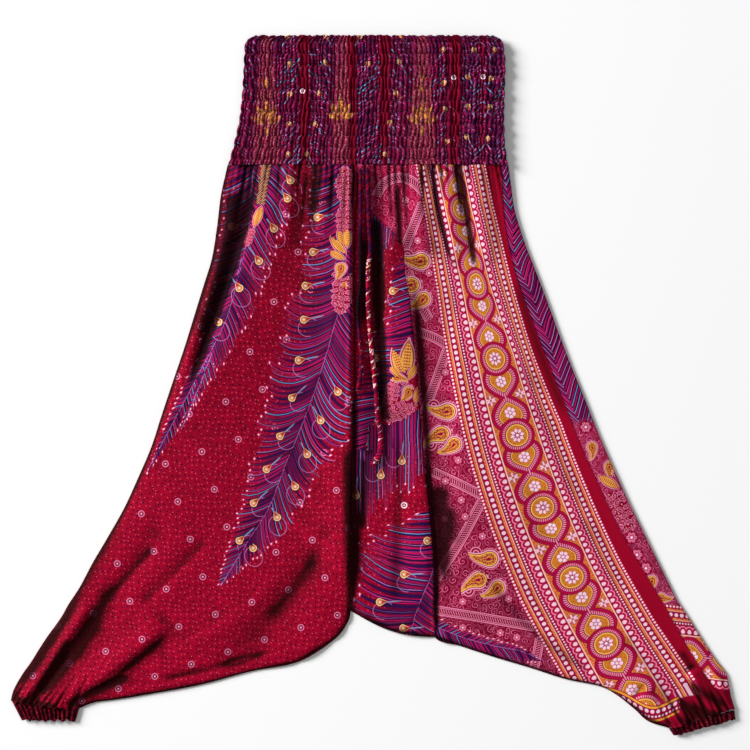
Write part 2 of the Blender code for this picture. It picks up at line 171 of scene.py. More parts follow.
# %% Folds, creases and shades
Fold = namedtuple("Fold", "x0 y0 xm ym x1 y1 left_width right_width height")
LARGE_FOLDS = [Fold(*row) for row in (
    (-177, 282, -218, 111, -326, -145, 13, 10, 8.0), (-142, 282, -173, 151, -267, -62, 60, 9, 6.5),
    (-32, 282, -31, -22, -31, -310, 4, 42, 10.0), (23, 235, 24, 111, 30, -49, 30, 8, 7.0),
    (43, 150, 60, -49, 76, -325, 7, 30, 5.5), (119, 111, 121, -115, 127, -342, 70, 20, 4.5),
    (-372, -285, -437, -383, -473, -428, 8, 10, 7.5), (-270, -318, -374, -401, -434, -436, 7, 26, 7.0),
    (-230, -395, -323, -414, -387, -428, 7, 7, 3.0), (351, -409, 381, -433, 415, -456, 13, 13, 6.0),
    (421, -379, 441, -409, 455, -440, 8, 8, 5.0), (452, -374, 466, -403, 474, -433, 7, 7, 4.0),
    (-110, 291, -112, 240, -116, 180, 9, 9, 3.5), (-66, 291, -66, 240, -68, 190, 9, 9, 3.5),
    (58, 291, 62, 225, 70, 160, 10, 10, 3.5), (98, 291, 104, 225, 112, 160, 10, 10, 3.5),
    (138, 291, 145, 225, 158, 160, 10, 10, 3.0),
)]
SMALL_CREASES = [Fold(*row) for row in (
    (-170, 290, -201, 130, -246, -6, 12, 12, -7.0), (-160, 262, -188, 150, -262, -60, 7, 7, -2.5),
    (-270, -161, -358, -300, -458, -400, 20, 16, -2.5), (-402, -355, -430, -391, -458, -425, 5, 5, -3.0),
    (-215, -203, -266, -251, -315, -299, 8, 12, -2.0), (-287, -213, -326, -255, -365, -297, 7, 9, -1.6),
    (-128, -352, -170, -368, -290, -397, 9, 7, -2.6), (-66, -213, -151, -333, -209, -390, 26, 22, -2.4),
    (-120, 180, -190, -60, -330, -330, 75, 95, 3.2), (-323, -390, -381, -412, -402, -427, 5, 5, -3.0),
    (-67, -342, -82, -360, -93, -374, 6, 9, 2.2), (-120, -250, -190, -318, -280, -360, 14, 10, 1.6),
    (-60, -180, -95, -262, -150, -318, 16, 10, -1.5), (-250, 60, -290, -40, -352, -168, 6, 8, 1.4),
    (81, 290, 87, 238, 106, 160, 3, 3, -2.2), (114, 290, 124, 234, 137, 148, 5, 4.5, -2.0),
    (84, -125, 90, -190, 96, -275, 16, 6, -2.2), (-17, 291, -17, 50, -16, -190, 13, 13, 4.5),
    (-26, 291, -26, 120, -26, -60, 5, 5, 2.6), (1, 226, 6, 145, 9, 60, 6, 6, -3.2),
    (-12, -90, -12, -140, -13, -200, 5, 5, -2.0), (33, 262, 36, 225, 37, 190, 3, 3, -2.6),
    (40, -60, 34, -180, 30, -310, 12, 9, -1.6), (160, -90, 205, -230, 290, -370, 20, 14, 1.6),
    (200, 40, 262, -120, 345, -300, 16, 22, -1.5), (330, -330, 372, -382, 402, -440, 12, 12, -1.2),
    (408, -350, 428, -385, 452, -440, 7, 7, -1.4), (150, -250, 215, -330, 305, -392, 13, 9, -1.8),
)]

# Places where the cloth folds in on itself and little light gets in, so shade is painted there. The last
# number is how dark the painted shade is; below zero it takes painted shade away.
SHADES = [Fold(*row) for row in (
    (-180, 268, -197, 160, -233, 48, 11, 12, 1.5), (-76, 291, -77, 262, -80, 225, 9, 8, 0.9),
    (5, 222, 7, 156, 9, 88, 8, 7, 1.7), (-22, 291, -22, 120, -23, -60, 7, 9, -0.8),
    (-12, 202, -12, 140, -14, 72, 4, 4, 1.8), (10, 0, 15, -25, 18, -52, 5, 5, 1.7),
    (-12, -95, -11, -140, -12, -196, 4, 4, 0.5), (-7, -50, -6, -72, -4, -98, 7, 7, 0.45),
    (-33, -70, -33, -150, -28, -335, 5, 5, 1.6), (34, 268, 35, 225, 37, 178, 2.6, 2.6, 2.2),
    (82, -134, 95, -188, 83, -252, 17, 9, 0.85), (98, -166, 107, -186, 106, -214, 9, 9, 0.45),
    (-335, -165, -404, -294, -479, -418, 13, 9, 0.8), (-345, -258, -398, -358, -452, -416, 12, 8, 0.9),
    (-312, -386, -362, -410, -404, -428, 8, 7, 0.8), (-66, -213, -151, -333, -209, -390, 24, 20, 0.35),
    (406, -423, 432, -434, 470, -446, 7, 7, 1.0), (402, -445, 425, -452, 452, -459, 6, 5, 0.9),
    (78, 290, 84, 245, 96, 190, 4, 5, 0.3), (113, 290, 124, 234, 136, 156, 3.5, 3, 0.4),
    (-400, -335, -435, -392, -458, -428, 6, 5, 1.4), (-350, -310, -412, -375, -445, -420, 15, 9, 0.4),
    (-484, -416, -456, -425, -424, -430, 5, 5, 1.4), (424, -398, 446, -416, 476, -430, 7, 6, 1.0),
    (415, -436, 446, -444, 484, -443, 6, 6, 0.7), (190, 145, 221, 50, 262, -50, 3, 7, 0.7),
)]
print("folds:", len(LARGE_FOLDS), "creases:", len(SMALL_CREASES), "shades:", len(SHADES))

# %% [markdown]
# The outline and the folds become functions of the plan position. A smooth curve through a short table gives
# as many rows of cloth as the fine mesh needs.

# %% Outline of the garment
def spline(table, places):
    """Smooth values of a table's columns at fractional row numbers (Catmull-Rom)."""
    table = np.asarray(table, float)
    ends = np.vstack([2 * table[0] - table[1], table, 2 * table[-1] - table[-2]])
    row = np.clip(np.floor(places).astype(int), 0, len(table) - 2)
    t = (places - row)[:, None]
    a, b, c, d = ends[row], ends[row + 1], ends[row + 2], ends[row + 3]
    return 0.5 * (2 * b + (c - a) * t + (2 * a - 5 * b + 4 * c - d) * t**2 + (3 * b - a - 3 * c + d) * t**3)


def garment_outline():
    """From the band down the right leg's outer edge, under the crotch and up the left leg's outer edge."""
    crotch = [(27.0, -329.0)]
    right = [RIGHT_LEG[:, :2], RIGHT_LEG[:14:-1, 2:]]
    return np.vstack([*right, crotch, LEFT_LEG[15:, 4:], LEFT_LEG[::-1, 2:4]])


OUTLINE = garment_outline()
OPEN_EDGES = {len(RIGHT_LEG) - 1, len(OUTLINE) - len(LEFT_LEG) - 1}


def edge_distance(x, y):
    nearest = np.full(np.shape(x), 1e9)
    for i, ((ax, ay), (bx, by)) in enumerate(zip(OUTLINE[:-1], OUTLINE[1:])):
        if i in OPEN_EDGES:
            continue
        dx, dy = bx - ax, by - ay
        along = np.clip(((x - ax) * dx + (y - ay) * dy) / (dx * dx + dy * dy), 0, 1)
        nearest = np.minimum(nearest, np.hypot(x - ax - along * dx, y - ay - along * dy))
    return nearest


print("points of the outline:", len(OUTLINE))

# %% Places beside a path
def smooth(low, high, value):
    t = np.clip((value - low) / (high - low), 0, 1)
    return t * t * (3 - 2 * t)


def curve_points(x0, y0, xm, ym, x1, y1, steps):
    """Points of the smooth arc through three places."""
    t = np.linspace(0, 1, steps + 1)
    cx, cy = 2 * xm - (x0 + x1) / 2, 2 * ym - (y0 + y1) / 2
    return np.stack([
        (1 - t) ** 2 * x0 + 2 * t * (1 - t) * cx + t**2 * x1,
        (1 - t) ** 2 * y0 + 2 * t * (1 - t) * cy + t**2 * y1,
    ], axis=-1)


def path_place(path, x, y):
    """(millimetres along, millimetres across, share of the length) of plan points beside a path.
    Across is above zero on the left of someone who walks along it."""
    best = np.full(np.shape(x), 1e9)
    side = np.zeros(np.shape(x))
    along = np.zeros(np.shape(x))
    lengths = np.linalg.norm(np.diff(path, axis=0), axis=1)
    travel = np.concatenate([[0], np.cumsum(lengths)])
    for i, length in enumerate(lengths):
        (ax, ay), (dx, dy) = path[i], path[i + 1] - path[i]
        raw = ((x - ax) * dx + (y - ay) * dy) / length**2
        t = np.clip(raw, -1e9 if i == 0 else 0.0, 1e9 if i == len(lengths) - 1 else 1.0)
        offx, offy = x - ax - t * dx, y - ay - t * dy
        distance = np.hypot(offx, offy)
        nearer = distance < best
        best = np.where(nearer, distance, best)
        side = np.where(nearer, np.sign(dx * offy - dy * offx), side)
        along = np.where(nearer, travel[i] + t * length, along)
    return along, best * side, along / travel[-1]


print("front seam, mm:", round(path_place(FRONT_SEAM, *FRONT_SEAM[-1:].T)[0][0]))

# %% Height of the front layer
def fold_height(fold, x, y):
    """A fold's own height. Points far from it are skipped, because most of them are."""
    path = curve_points(*fold[:6], 12)
    reach = 3 * max(fold.left_width, fold.right_width)
    low, high = path.min(axis=0) - reach, path.max(axis=0) + reach
    near = (x > low[0]) & (x < high[0]) & (y > low[1]) & (y < high[1])
    _, across, place = path_place(path, x[near], y[near])
    width = np.where(across > 0, fold.left_width, fold.right_width)
    start = 1.0 if fold.y0 >= WAIST_Y - 10 else smooth(0, 0.16, place)
    end = 1.0 if fold.y1 <= -426 else smooth(1, 0.84, place)
    ends = smooth(-0.04, 0.0, place) * smooth(1.04, 1.0, place)
    height = np.zeros(x.shape)
    height[near] = fold.height * np.exp(-((across / width) ** 2)) * start * end * ends
    return height


def large_form(x, y):
    """Top of the front layer, as in the solids."""
    x, y = np.atleast_1d(x).astype(float), np.atleast_1d(y).astype(float)
    distance = edge_distance(x, y)
    settle = 1 - np.exp(-distance / ROLL)
    rise = PUFF * settle + WAIST_RISE * np.exp(-np.maximum(WAIST_Y - y, 0) / WAIST_FADE)
    return PLY + GAP + PLY + rise + settle * sum(fold_height(fold, x, y) for fold in LARGE_FOLDS)


RIM_DROP = 1.7  # the front layer comes down to the back one at the side seams
RIM_REACH = 2.6
RUMPLE = 0.35


def front_height(x, y):
    """Top of the fine front layer: the large form, the small creases and a slight rumple."""
    x, y = np.atleast_1d(x).astype(float), np.atleast_1d(y).astype(float)
    distance = edge_distance(x, y)
    settle = 1 - np.exp(-distance / ROLL)
    creases = sum(fold_height(fold, x, y) for fold in SMALL_CREASES)
    rumple = np.sin(x / 23 + 1.3 * np.sin(y / 41)) * np.sin(y / 31 + 1.1 * np.sin(x / 37 + 2))
    rumple = rumple + 0.6 * np.sin((x + y) / 11 + 2 * np.sin(y / 29)) * np.sin(x / 53)
    height = large_form(x, y) + settle * (creases + RUMPLE * rumple)
    return np.maximum(height, PLY + GAP + 1.0) - RIM_DROP * np.exp(-distance / RIM_REACH)


print("height of the deep fold, mm:", np.round(front_height(-31.0, 0.0), 1))

# %% [markdown]
# ## The two ties
# They are fixed lengths of twisted cloth that hang from the centre front and lie on the folds. Each is a tube
# along the solids' own route, with three strands that wind round it.

# %% Routes of the ties
Tie = namedtuple("Tie", "name radius points tail")
TIES = [
    Tie("drawstring_long", 3.0, [
        (-7, 286), (-6, 251), (-5, 211), (-3, 178), (-6, 152), (-6, 120), (-5, 87), (-2, 51), (2, 15),
        (5, -17), (6, -38), (9, -59), (11, -75), (9, -94), (-1, -109),
    ], 1.35),
    Tie("drawstring_short", 2.6, [
        (-16, 286), (-16, 245), (-16, 191), (-16, 134), (-19, 107), (-19, 82), (-17, 58), (-15, 34),
        (-16, 10), (-20, -9),
    ], 1.1),
]
TIE_CLEARANCE = 1.2
TIE_STEP = 1.6
STRANDS = 3
TWIST_PITCH = 15.0  # millimetres of tie in one whole turn
STRAND_DEPTH = 0.16  # share of the radius
print("ties:", ", ".join(tie.name for tie in TIES))

# %% How a tie lies on the folds
def even_route(points, step):
    dense = spline(points, np.linspace(0, len(points) - 1, 12 * len(points)))
    travel = np.concatenate([[0], np.cumsum(np.linalg.norm(np.diff(dense, axis=0), axis=1))])
    places = np.linspace(0, travel[-1], max(2, round(travel[-1] / step) + 1))
    return np.column_stack([np.interp(places, travel, dense[:, k]) for k in range(2)]), travel[-1]


def resting_height(plan, radius):
    highest = np.zeros(len(plan))
    for turn in np.linspace(0, TURN, 12, endpoint=False):
        for share in (0.0, 0.5, 1.0):
            x = plan[:, 0] + share * (radius + 1.0) * math.cos(turn)
            y = plan[:, 1] + share * (radius + 1.0) * math.sin(turn)
            under = front_height(x, y) + radius * math.sqrt(max(0.0, 1 - share**2))
            highest = np.maximum(highest, under)
    reach = 9
    padded = np.pad(highest, reach, mode="edge")
    spread = np.array([padded[i : i + 2 * reach + 1].max() for i in range(len(highest))])
    kernel = np.hanning(2 * reach + 3)[1:-1]
    return np.convolve(np.pad(spread, reach, mode="edge"), kernel / kernel.sum(), "valid")


for tie in TIES:
    print(tie.name, "route, mm:", round(even_route(tie.points, TIE_STEP)[1], 1))

# %% A twisted tube
def plain_mesh(name, points, faces):
    """An object at the origin from points in millimetres."""
    data = bpy.data.meshes.new(name)
    data.from_pydata((np.asarray(points) * MM).tolist(), [], np.asarray(faces).tolist())
    data.update()
    made = put_in_scene(name, data)
    data.shade_smooth()
    return made


def write_points(piece, name, values):
    """Stores one number at each point of the piece."""
    made = piece.data.attributes.new(name, "FLOAT", "POINT")
    made.data.foreach_set("value", np.ascontiguousarray(values, np.float32))


def twisted_tie(tie):
    """A closed tube of three wound strands. Its UV map runs along the tie and round it."""
    plan, length = even_route(tie.points, TIE_STEP)
    centre = np.column_stack([plan, resting_height(plan, tie.radius) + TIE_CLEARANCE])
    ahead = np.gradient(centre, axis=0)
    ahead /= np.linalg.norm(ahead, axis=1)[:, None]
    across = np.cross(ahead, [0, 0, 1.0])
    across /= np.linalg.norm(across, axis=1)[:, None]
    up = np.cross(across, ahead)
    sides = 24
    places = np.linspace(0, length, len(centre))
    turn = np.linspace(0, TURN, sides, endpoint=False)
    winding = turn[None, :] * STRANDS + TURN * STRANDS * places[:, None] / TWIST_PITCH
    lobe = 1 - STRAND_DEPTH * (1 - np.abs(np.sin(winding / 2)) ** 0.7)
    end = np.minimum(places, length - places)
    taper = 0.25 + 0.75 * np.clip(end / 4.0, 0, 1) ** 0.5
    wide = 1 + (tie.tail - 1) * smooth(length - 55, length - 25, places)
    radius = tie.radius * lobe * taper[:, None]
    ring = (
        centre[:, None, :]
        + across[:, None, :] * (radius * np.cos(turn) * wide[:, None])[..., None]
        + up[:, None, :] * (radius * np.sin(turn) / wide[:, None])[..., None]
    )
    points = np.vstack([ring.reshape(-1, 3), centre[:1], centre[-1:]])
    faces = []
    rings = len(centre)
    for i in range(rings - 1):
        for j in range(sides):
            k = (j + 1) % sides
            faces.append((i * sides + j, i * sides + k, (i + 1) * sides + k, (i + 1) * sides + j))
    made = plain_mesh(tie.name + "_cloth", points[:-2], faces)
    mesh = bmesh.new()
    mesh.from_mesh(made.data)
    uv = mesh.loops.layers.uv.new("along_and_round")
    for face in mesh.faces:
        i, j = divmod(face.index, sides)
        for loop, (ring_i, side_j) in zip(face.loops, ((i, j), (i, j + 1), (i + 1, j + 1), (i + 1, j))):
            loop[uv].uv = (places[ring_i] * MM, side_j / sides)
    bmesh.ops.holes_fill(mesh, edges=[edge for edge in mesh.edges if edge.is_boundary])
    bmesh.ops.recalc_face_normals(mesh, faces=mesh.faces)
    mesh.to_mesh(made.data)
    mesh.free()
    made.data.shade_smooth()
    return made, centre, length


print("turns of a strand in 100 mm:", round(100 / TWIST_PITCH, 1))

# %% Both ties
# How much shade is painted on a tie at each height on the garment: high up it lies between folds.
TIE_SHADE = {
    "drawstring_long": ((160, 0.0), (178, 0.4)),
    "drawstring_short": ((66, 0.3), (88, 0.95), (195, 0.95), (214, 0.45)),
}

ties = {}
for tie in TIES:
    piece, centre, length = twisted_tie(tie)
    level = np.array([vertex.co.y / MM for vertex in piece.data.vertices])
    # Painted shade of the tie, from the table above.
    write_points(piece, "crease", np.interp(level, *zip(*TIE_SHADE[tie.name])))
    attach(piece, "root")
    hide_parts(tie.name)
    ties[tie.name] = piece
    print(tie.name, "length, mm:", round(length), "faces:", len(piece.data.polygons))

# %% [markdown]
# ## A pen for printed cloth
# The print is drawn by shader nodes, so its lines stay crisp at any distance. Writing every Math node by hand
# would be long, so a small class lets ordinary arithmetic add the nodes. The order in which nodes are made is
# the order in which they are worked out, so each layer is mixed in as soon as it is drawn.

# %% Arithmetic that makes nodes
pen = {"tree": None, "print": None}


class Wire:
    """A value on its way between two shader nodes."""

    def __init__(self, socket):
        self.socket = socket


def operator(operation, swapped=False):
    return lambda self, other: maths(operation, *((other, self) if swapped else (self, other)))


for sign, operation in (("add", "ADD"), ("sub", "SUBTRACT"), ("mul", "MULTIPLY"), ("truediv", "DIVIDE")):
    setattr(Wire, f"__{sign}__", operator(operation))
    setattr(Wire, f"__r{sign}__", operator(operation, swapped=True))
Wire.__abs__ = lambda self: maths("ABSOLUTE", self)
Wire.__neg__ = lambda self: maths("MULTIPLY", self, -1.0)


def node(kind, output=0, **inputs):
    """A node with its inputs set or wired. Inputs are named in lower case, with _ for a space."""
    made = pen["tree"].nodes.new("ShaderNode" + kind)
    by_name = {socket.name.lower().replace(" ", "_"): socket for socket in reversed(made.inputs)}
    for name, value in inputs.items():
        if name in by_name:
            wire_in(by_name[name], value)
        else:
            setattr(made, name, value)
    return Wire(made.outputs[output]) if output is not None else made


def wire_in(socket, value):
    if isinstance(value, Wire):
        pen["tree"].links.new(value.socket, socket)
    else:
        socket.default_value = value


def maths(operation, *values, clamp=False):
    made = pen["tree"].nodes.new("ShaderNodeMath")
    made.operation = operation
    made.use_clamp = clamp
    for socket, value in zip(made.inputs, values):
        wire_in(socket, value)
    return Wire(made.outputs[0])


print("signs that add a node: + - * /")

# %% Soft steps, stripes and repeats
def scaled(value, factor, start):
    """value * factor + start in a single node."""
    return maths("MULTIPLY_ADD", value, factor, start)


def over(value, limit):
    return maths("GREATER_THAN", value, limit)


def larger(first, second):
    return maths("MAXIMUM", first, second)


def above(value, edge, soft=0.35):
    """1 where value is over the edge, 0 where it is under, with a soft step between."""
    if isinstance(edge, Wire):
        value, edge = value - edge, 0.0
    return maths("MULTIPLY_ADD", value, 1 / soft, 0.5 - edge / soft, clamp=True)


def below(value, edge, soft=0.35):
    if isinstance(edge, Wire):
        value, edge = value - edge, 0.0
    return maths("MULTIPLY_ADD", value, -1 / soft, 0.5 + edge / soft, clamp=True)


def stripe(value, low, high, soft=0.35):
    return below(abs(value - (low + high) / 2), (high - low) / 2, soft)


def wrapped(value, pitch):
    """The value's distance from the nearest whole repeat, from -pitch / 2 to pitch / 2."""
    return maths("WRAP", value, pitch / 2, -pitch / 2)


def radius(x, y):
    return maths("SQRT", maths("MULTIPLY_ADD", x, x, y * y))


def chance(value, seed=0.0):
    """A fixed random number from 0 to 1 for each whole number."""
    return node("TexWhiteNoise", noise_dimensions="1D", w=value + seed)


print("a step is soft over, mm:", above.__defaults__[0])

# %% Paint
def dye(red, green, blue):
    """A colour as it looks on screen, 0 to 255, turned into light for the shader."""
    linear = [((c / 255 + 0.055) / 1.055) ** 2.4 if c > 10 else c / 255 / 12.92 for c in (red, green, blue)]
    return (*linear, 1.0)


def paint(under, colour, mask):
    """The colour laid over what is under it, where the mask is 1."""
    made = pen["tree"].nodes.new("ShaderNodeMix")
    made.data_type = "RGBA"
    wire_in(made.inputs[0], mask)
    wire_in(made.inputs[6], under)
    wire_in(made.inputs[7], colour)
    return Wire(made.outputs[2])


def lay(colour, mask):
    """Lays the next colour over the print so far."""
    pen["print"] = paint(pen["print"], colour, mask)


def split(vector):
    made = node("SeparateXYZ", output=None, vector=vector)
    return [Wire(output) for output in made.outputs]


def attribute(name):
    return split(node("Attribute", output="Vector", attribute_name=name))


def level_of(name):
    """A single number that the cloth stores under a name."""
    return node("Attribute", output="Fac", attribute_name=name)


def point(x, y, z=0.0):
    return node("CombineXYZ", x=x, y=y, z=z)


def noise(place, scale, detail, **more):
    return node("TexNoise", vector=place, scale=scale, detail=detail, **more)


def cells(output, place, size, **more):
    """One output of a field of uneven cells about as wide as the size."""
    return node("TexVoronoi", output=output, voronoi_dimensions="2D", vector=place, scale=1 / size, **more)


print("a print is laid with", lay.__name__, "over what is there")

# %% [markdown]
# The dyes of the cloth, as a printer would name them.

# %% Dyes
DEEP_RED = dye(120, 0, 30)
WINE = dye(84, 4, 44)
SKY = dye(84, 166, 214)
BLUSH = dye(255, 226, 236)
GOLD = dye(226, 160, 50)
print("a named dye, as light:", [round(part, 2) for part in GOLD])

# %% [markdown]
# ### Dotted ground
# Small rings on a slanted lattice, with a much finer lattice of pin dots between them.

# %% Dots and rings
def lattice(x, y, a, b, shift):
    """Distance from the nearest point of a slanted lattice whose two steps are a and b."""
    area = a[0] * b[1] - a[1] * b[0]
    i = wrapped(x * (b[1] / area) - y * (b[0] / area) + shift[0], 1.0)
    j = wrapped(y * (a[0] / area) - x * (a[1] / area) + shift[1], 1.0)
    return radius(i * a[0] + j * b[0], i * a[1] + j * b[1])


RING_STEPS = ((48.6, 16.3), (-32.0, -66.4))
RING_SHIFT = (0.50, -0.26)
PIN_PITCH = 7.6


def ring_dots(under, distance):
    under = paint(under, dye(124, 0, 34), below(distance, 5.2, 0.8))
    under = paint(under, dye(226, 116, 160), stripe(distance, 3.2, 4.5, 0.6))
    return paint(under, dye(240, 176, 200), below(distance, 1.2, 0.7))


def dotted_ground(x, y):
    """Crimson with a slight mottle, painted lighter towards the cuffs and darker towards the waist as painted
    light and shade. The pin dots wander a little, as scattered seeds do.
    """
    place = point(x, y)
    mottle = noise(place, 0.06, 4.0, roughness=0.6)
    # Painted light and shade: the ground's tone rises from the waist down towards the cuffs.
    ground = paint(dye(104, 0, 24), dye(176, 0, 44), maths("MULTIPLY_ADD", y, -0.0007, mottle, clamp=True))
    grain = noise(place, 0.55, 2.0)
    ground = paint(ground, dye(92, 0, 26), above(grain, 0.56, 0.1) * 0.45)
    for start, size, pin in ((0.0, 0.68, dye(222, 76, 104)), (4.0, 1.08, dye(44, 0, 32))):
        near = point(x + start, y - start)
        pins = cells("Distance", near, PIN_PITCH, randomness=0.7)
        ground = paint(ground, pin, below(pins * PIN_PITCH, size, 0.5))
    return ring_dots(ground, lattice(x, y, *RING_STEPS, RING_SHIFT) + above(x, -29.0, 2.0) * 99.0)


print("pin dots every mm:", PIN_PITCH)

# %% [markdown]
# ### Plumes
# Each plume is a spine with barbs that sweep towards its tip. The sheets carry three numbers for it: which
# barb a point is on, how far across from the spine it lies, and what share of the plume's reach that is.

# %% Barbs
BARB = 7.4  # usual distance from barb to barb


def barbs(place, across, share, ragged=1.0, pale=0.9, hair_half=0.05):
    """Barbs of a plume. place counts them along the spine, and one side starts a little later.
    Each barb is a dark blade on a crimson ground with a pale hair on one edge and a bead at its tip."""
    side = over(across, 0.0)
    place = scaled(side, 0.37, place)
    row = maths("FLOOR", place)
    key = scaled(side, 517.0, row)
    cross = place - row - 0.5
    first, second, third = chance(key), chance(key, 0.31), chance(key, 0.73)
    tip = scaled(second, 0.26, 0.74)
    outer = larger(share - 0.30, 0.0)
    within = below(share, tip, 0.04)
    glow = paint(dye(142, 0, 46), dye(186, 6, 80), over(third, 0.5))
    glow = paint(glow, dye(86, 0, 44), maths("LESS_THAN", first, 0.35))
    gap = scaled(outer, -0.9, 0.54)
    lay(glow, below(abs(cross), gap, 0.12) * within)
    bend = scaled(key, 3.7, across * 0.045)
    wave = node("TexNoise", noise_dimensions="1D", w=bend, scale=1.0)
    cross = cross + scaled(wave, 0.24, -0.12)
    half = scaled(outer, -0.42, scaled(first, 0.12, 0.25))
    blade = below(abs(cross), half, 0.08) * within
    colour = paint(dye(38, 9, 68), dye(68, 6, 66), over(second, 0.5))
    colour = paint(colour, dye(46, 2, 46), over(second, 0.82))
    lay(colour, blade)
    edge = abs(cross - scaled(third, 0.44, -0.22))
    line = below(edge, hair_half, 0.06)
    line = line * above(share, 0.03, 0.05) * within
    hair_dye = paint(dye(204, 132, 202), dye(228, 66, 140), over(third, 0.62))
    lay(hair_dye, line * maths("MULTIPLY_ADD", first, 1.3, pale - 1.1, clamp=True))
    lay(SKY, line * over(first, 0.86))
    hair = below(abs(abs(cross) - 0.37), 0.03, 0.05) * within * above(share, 0.08, 0.05)
    lay(dye(190, 50, 130), hair * scaled(second, 0.6, 0.0))
    reach = abs(across) / larger(share, 0.02)
    dot = radius((share - tip) * reach, cross * BARB)
    beaded = over(third, 0.4) * ragged
    lay(dye(226, 60, 120), below(dot, 2.0, 1.0) * beaded * 0.7)
    lay(BLUSH, below(dot, 0.95, 0.7) * beaded)
    spine = below(abs(across), 0.5, 0.7) * below(share, 0.9, 0.1) * ragged
    lay(dye(170, 110, 196), spine * over(first, 0.3) * 0.6)


print("usual distance from barb to barb, mm:", BARB)

# %% [markdown]
# ### Single motifs
# Plume eyes, paisleys, pointed leaves and rosettes each stand in a small cell of the sheet. The cell holds
# the point's place in the motif's own frame, so one drawing of each kind serves all of its copies.

# %% Eyes
EYE, PAISLEY, LEAF, ROSETTE, FAN, STEM, RING, HANGING_EYE = range(1, 9)


def teardrop(x, y, size, tail):
    """0 at the middle of a drop, 1 at its edge. The tail runs towards -X."""
    narrow = larger(scaled(maths("MINIMUM", x, 0.0), 1 / tail, 1.0), 0.03)
    return radius(larger(x, 0.0) / size, y / (narrow * size))


def draw_eyes(x, y, here, loop=(-4.0, -11.5)):
    """The gold eye at the end of a long barb, with the blue hair that it hangs on and a fine loop of line."""
    ring = abs(radius((x - loop[0]) * 0.85, y - loop[1]) - 12.0)
    open_side = above(x + y * 0.6, -18.0, 2.0)
    lay(dye(200, 130, 196), below(ring, 0.36, 0.5) * open_side * here * 0.7)
    drop = teardrop(x, y, 5.4, 10.0)
    hair = below(abs(y + 0.4), 0.75, 0.6) * stripe(x, -25.0, -8.0, 4.0)
    lay(dye(90, 160, 214), hair * here)
    lay(dye(60, 4, 44), below(drop, 1.22, 0.1) * here * 0.8)
    lay(dye(246, 206, 140), below(drop, 1.0, 0.08) * here)
    lay(dye(176, 50, 50), below(drop, 0.74, 0.10) * here)
    middle = radius(x - 0.4, y)
    lay(dye(236, 176, 110), stripe(middle, 2.2, 3.0, 0.5) * here)
    lay(dye(250, 220, 206), below(middle, 1.5, 0.6) * here)


print("kinds of motif:", HANGING_EYE)

# %% Paisleys
def draw_paisleys(x, y, here):
    """A fat drop whose tail hooks over to one side, with a curl of line beside it."""
    back = maths("MINIMUM", x + 2.0, 0.0)
    bent = scaled(back * back, -0.022, y)
    narrow = scaled(back, 1 / 26.0, 1.0)
    narrow = maths("SQRT", larger(narrow, 0.0)) * scaled(narrow, 0.25, 0.75)
    width = larger(narrow * 10.0, 0.4)
    drop = radius(larger(x + 2.0, 0.0) / 11.0, bent / width)
    tail = above(x, -27.5, 0.6) * here
    off = (drop - 1.0) * width
    lay(dye(146, 0, 46), below(off, 7.0, 0.8) * tail)
    scalloped = scaled(abs(wrapped(x, 3.6)), 0.9, off)
    lay(dye(234, 130, 170), stripe(scalloped, 5.2, 6.3, 0.5) * tail)
    lay(dye(242, 164, 194), stripe(off, 1.3, 3.1, 0.5) * tail)
    lay(dye(140, 10, 40), below(off, 1.1, 0.4) * tail)
    patch = noise(point(x, y), 0.42, 1.0)
    gold = paint(dye(220, 146, 46), dye(160, 20, 60), above(patch, 0.54, 0.06))
    lay(dye(240, 190, 90), below(off, 0.2, 0.4) * tail)
    lay(gold, below(off, -1.2, 0.4) * tail)
    lay(dye(150, 6, 54), (stripe(off, -4.8, -3.6, 0.5) + below(off, -7.6, 0.6)) * tail)
    from_curl, to_curl = x + 18.0, y - 14.0
    around = maths("ARCTAN2", to_curl, from_curl)
    out = radius(from_curl, to_curl)
    curl = abs(wrapped(scaled(around, 4.4 / TURN, out), 4.4))
    round_curl = below(out, 9.0, 0.6) * above(off, 3.4, 0.4) * here
    lay(dye(150, 0, 50), round_curl)
    lay(dye(236, 140, 178), below(curl, 0.75, 0.5) * round_curl)

# %% Leaves and rosettes
def petals(x, y, count):
    """(distance from the middle, 0 along a petal's axis to 1 between two petals)."""
    turn = maths("ARCTAN2", y, x) * (count / TURN)
    return radius(x, y), abs(wrapped(turn, 1.0)) * 2.0


def draw_leaves(x, y, here):
    """A slim pointed leaf that runs towards +X from its foot, with a row of beads down its middle."""
    half = larger(x * (26.0 - x), 0.0) * (4.4 / 169.0)
    off = abs(y) - half
    inside = above(x, 0.0, 0.5) * here
    lay(dye(236, 150, 170), below(off, 0.9, 0.5) * inside)
    lay(DEEP_RED, below(off, 0.1, 0.4) * inside)
    lay(dye(232, 164, 74), below(off, -0.6, 0.5) * inside)
    bead = radius(wrapped(x, 2.0), abs(abs(y) - 0.9) - 0.7)
    lay(dye(168, 40, 46), below(bead, 0.55, 0.4) * below(off, -0.7, 0.4) * inside)


def draw_rosettes(x, y, here):
    out, between = petals(x, y, 6)
    lay(dye(140, 0, 46), below(out, 7.6, 0.8) * here)
    petal = below(out + between * between * 2.6, 6.2, 0.6) * above(between, 0.12, 0.1)
    lay(dye(230, 120, 158), petal * here)
    lay(dye(160, 10, 70), stripe(out, 2.0, 2.8, 0.5) * here)
    lay(BLUSH, below(out, 1.2, 0.5) * here)

# %% Fans, stems and rings
def draw_hanging_eyes(x, y, here):
    draw_eyes(x, y, here, loop=(11.0, -5.0))


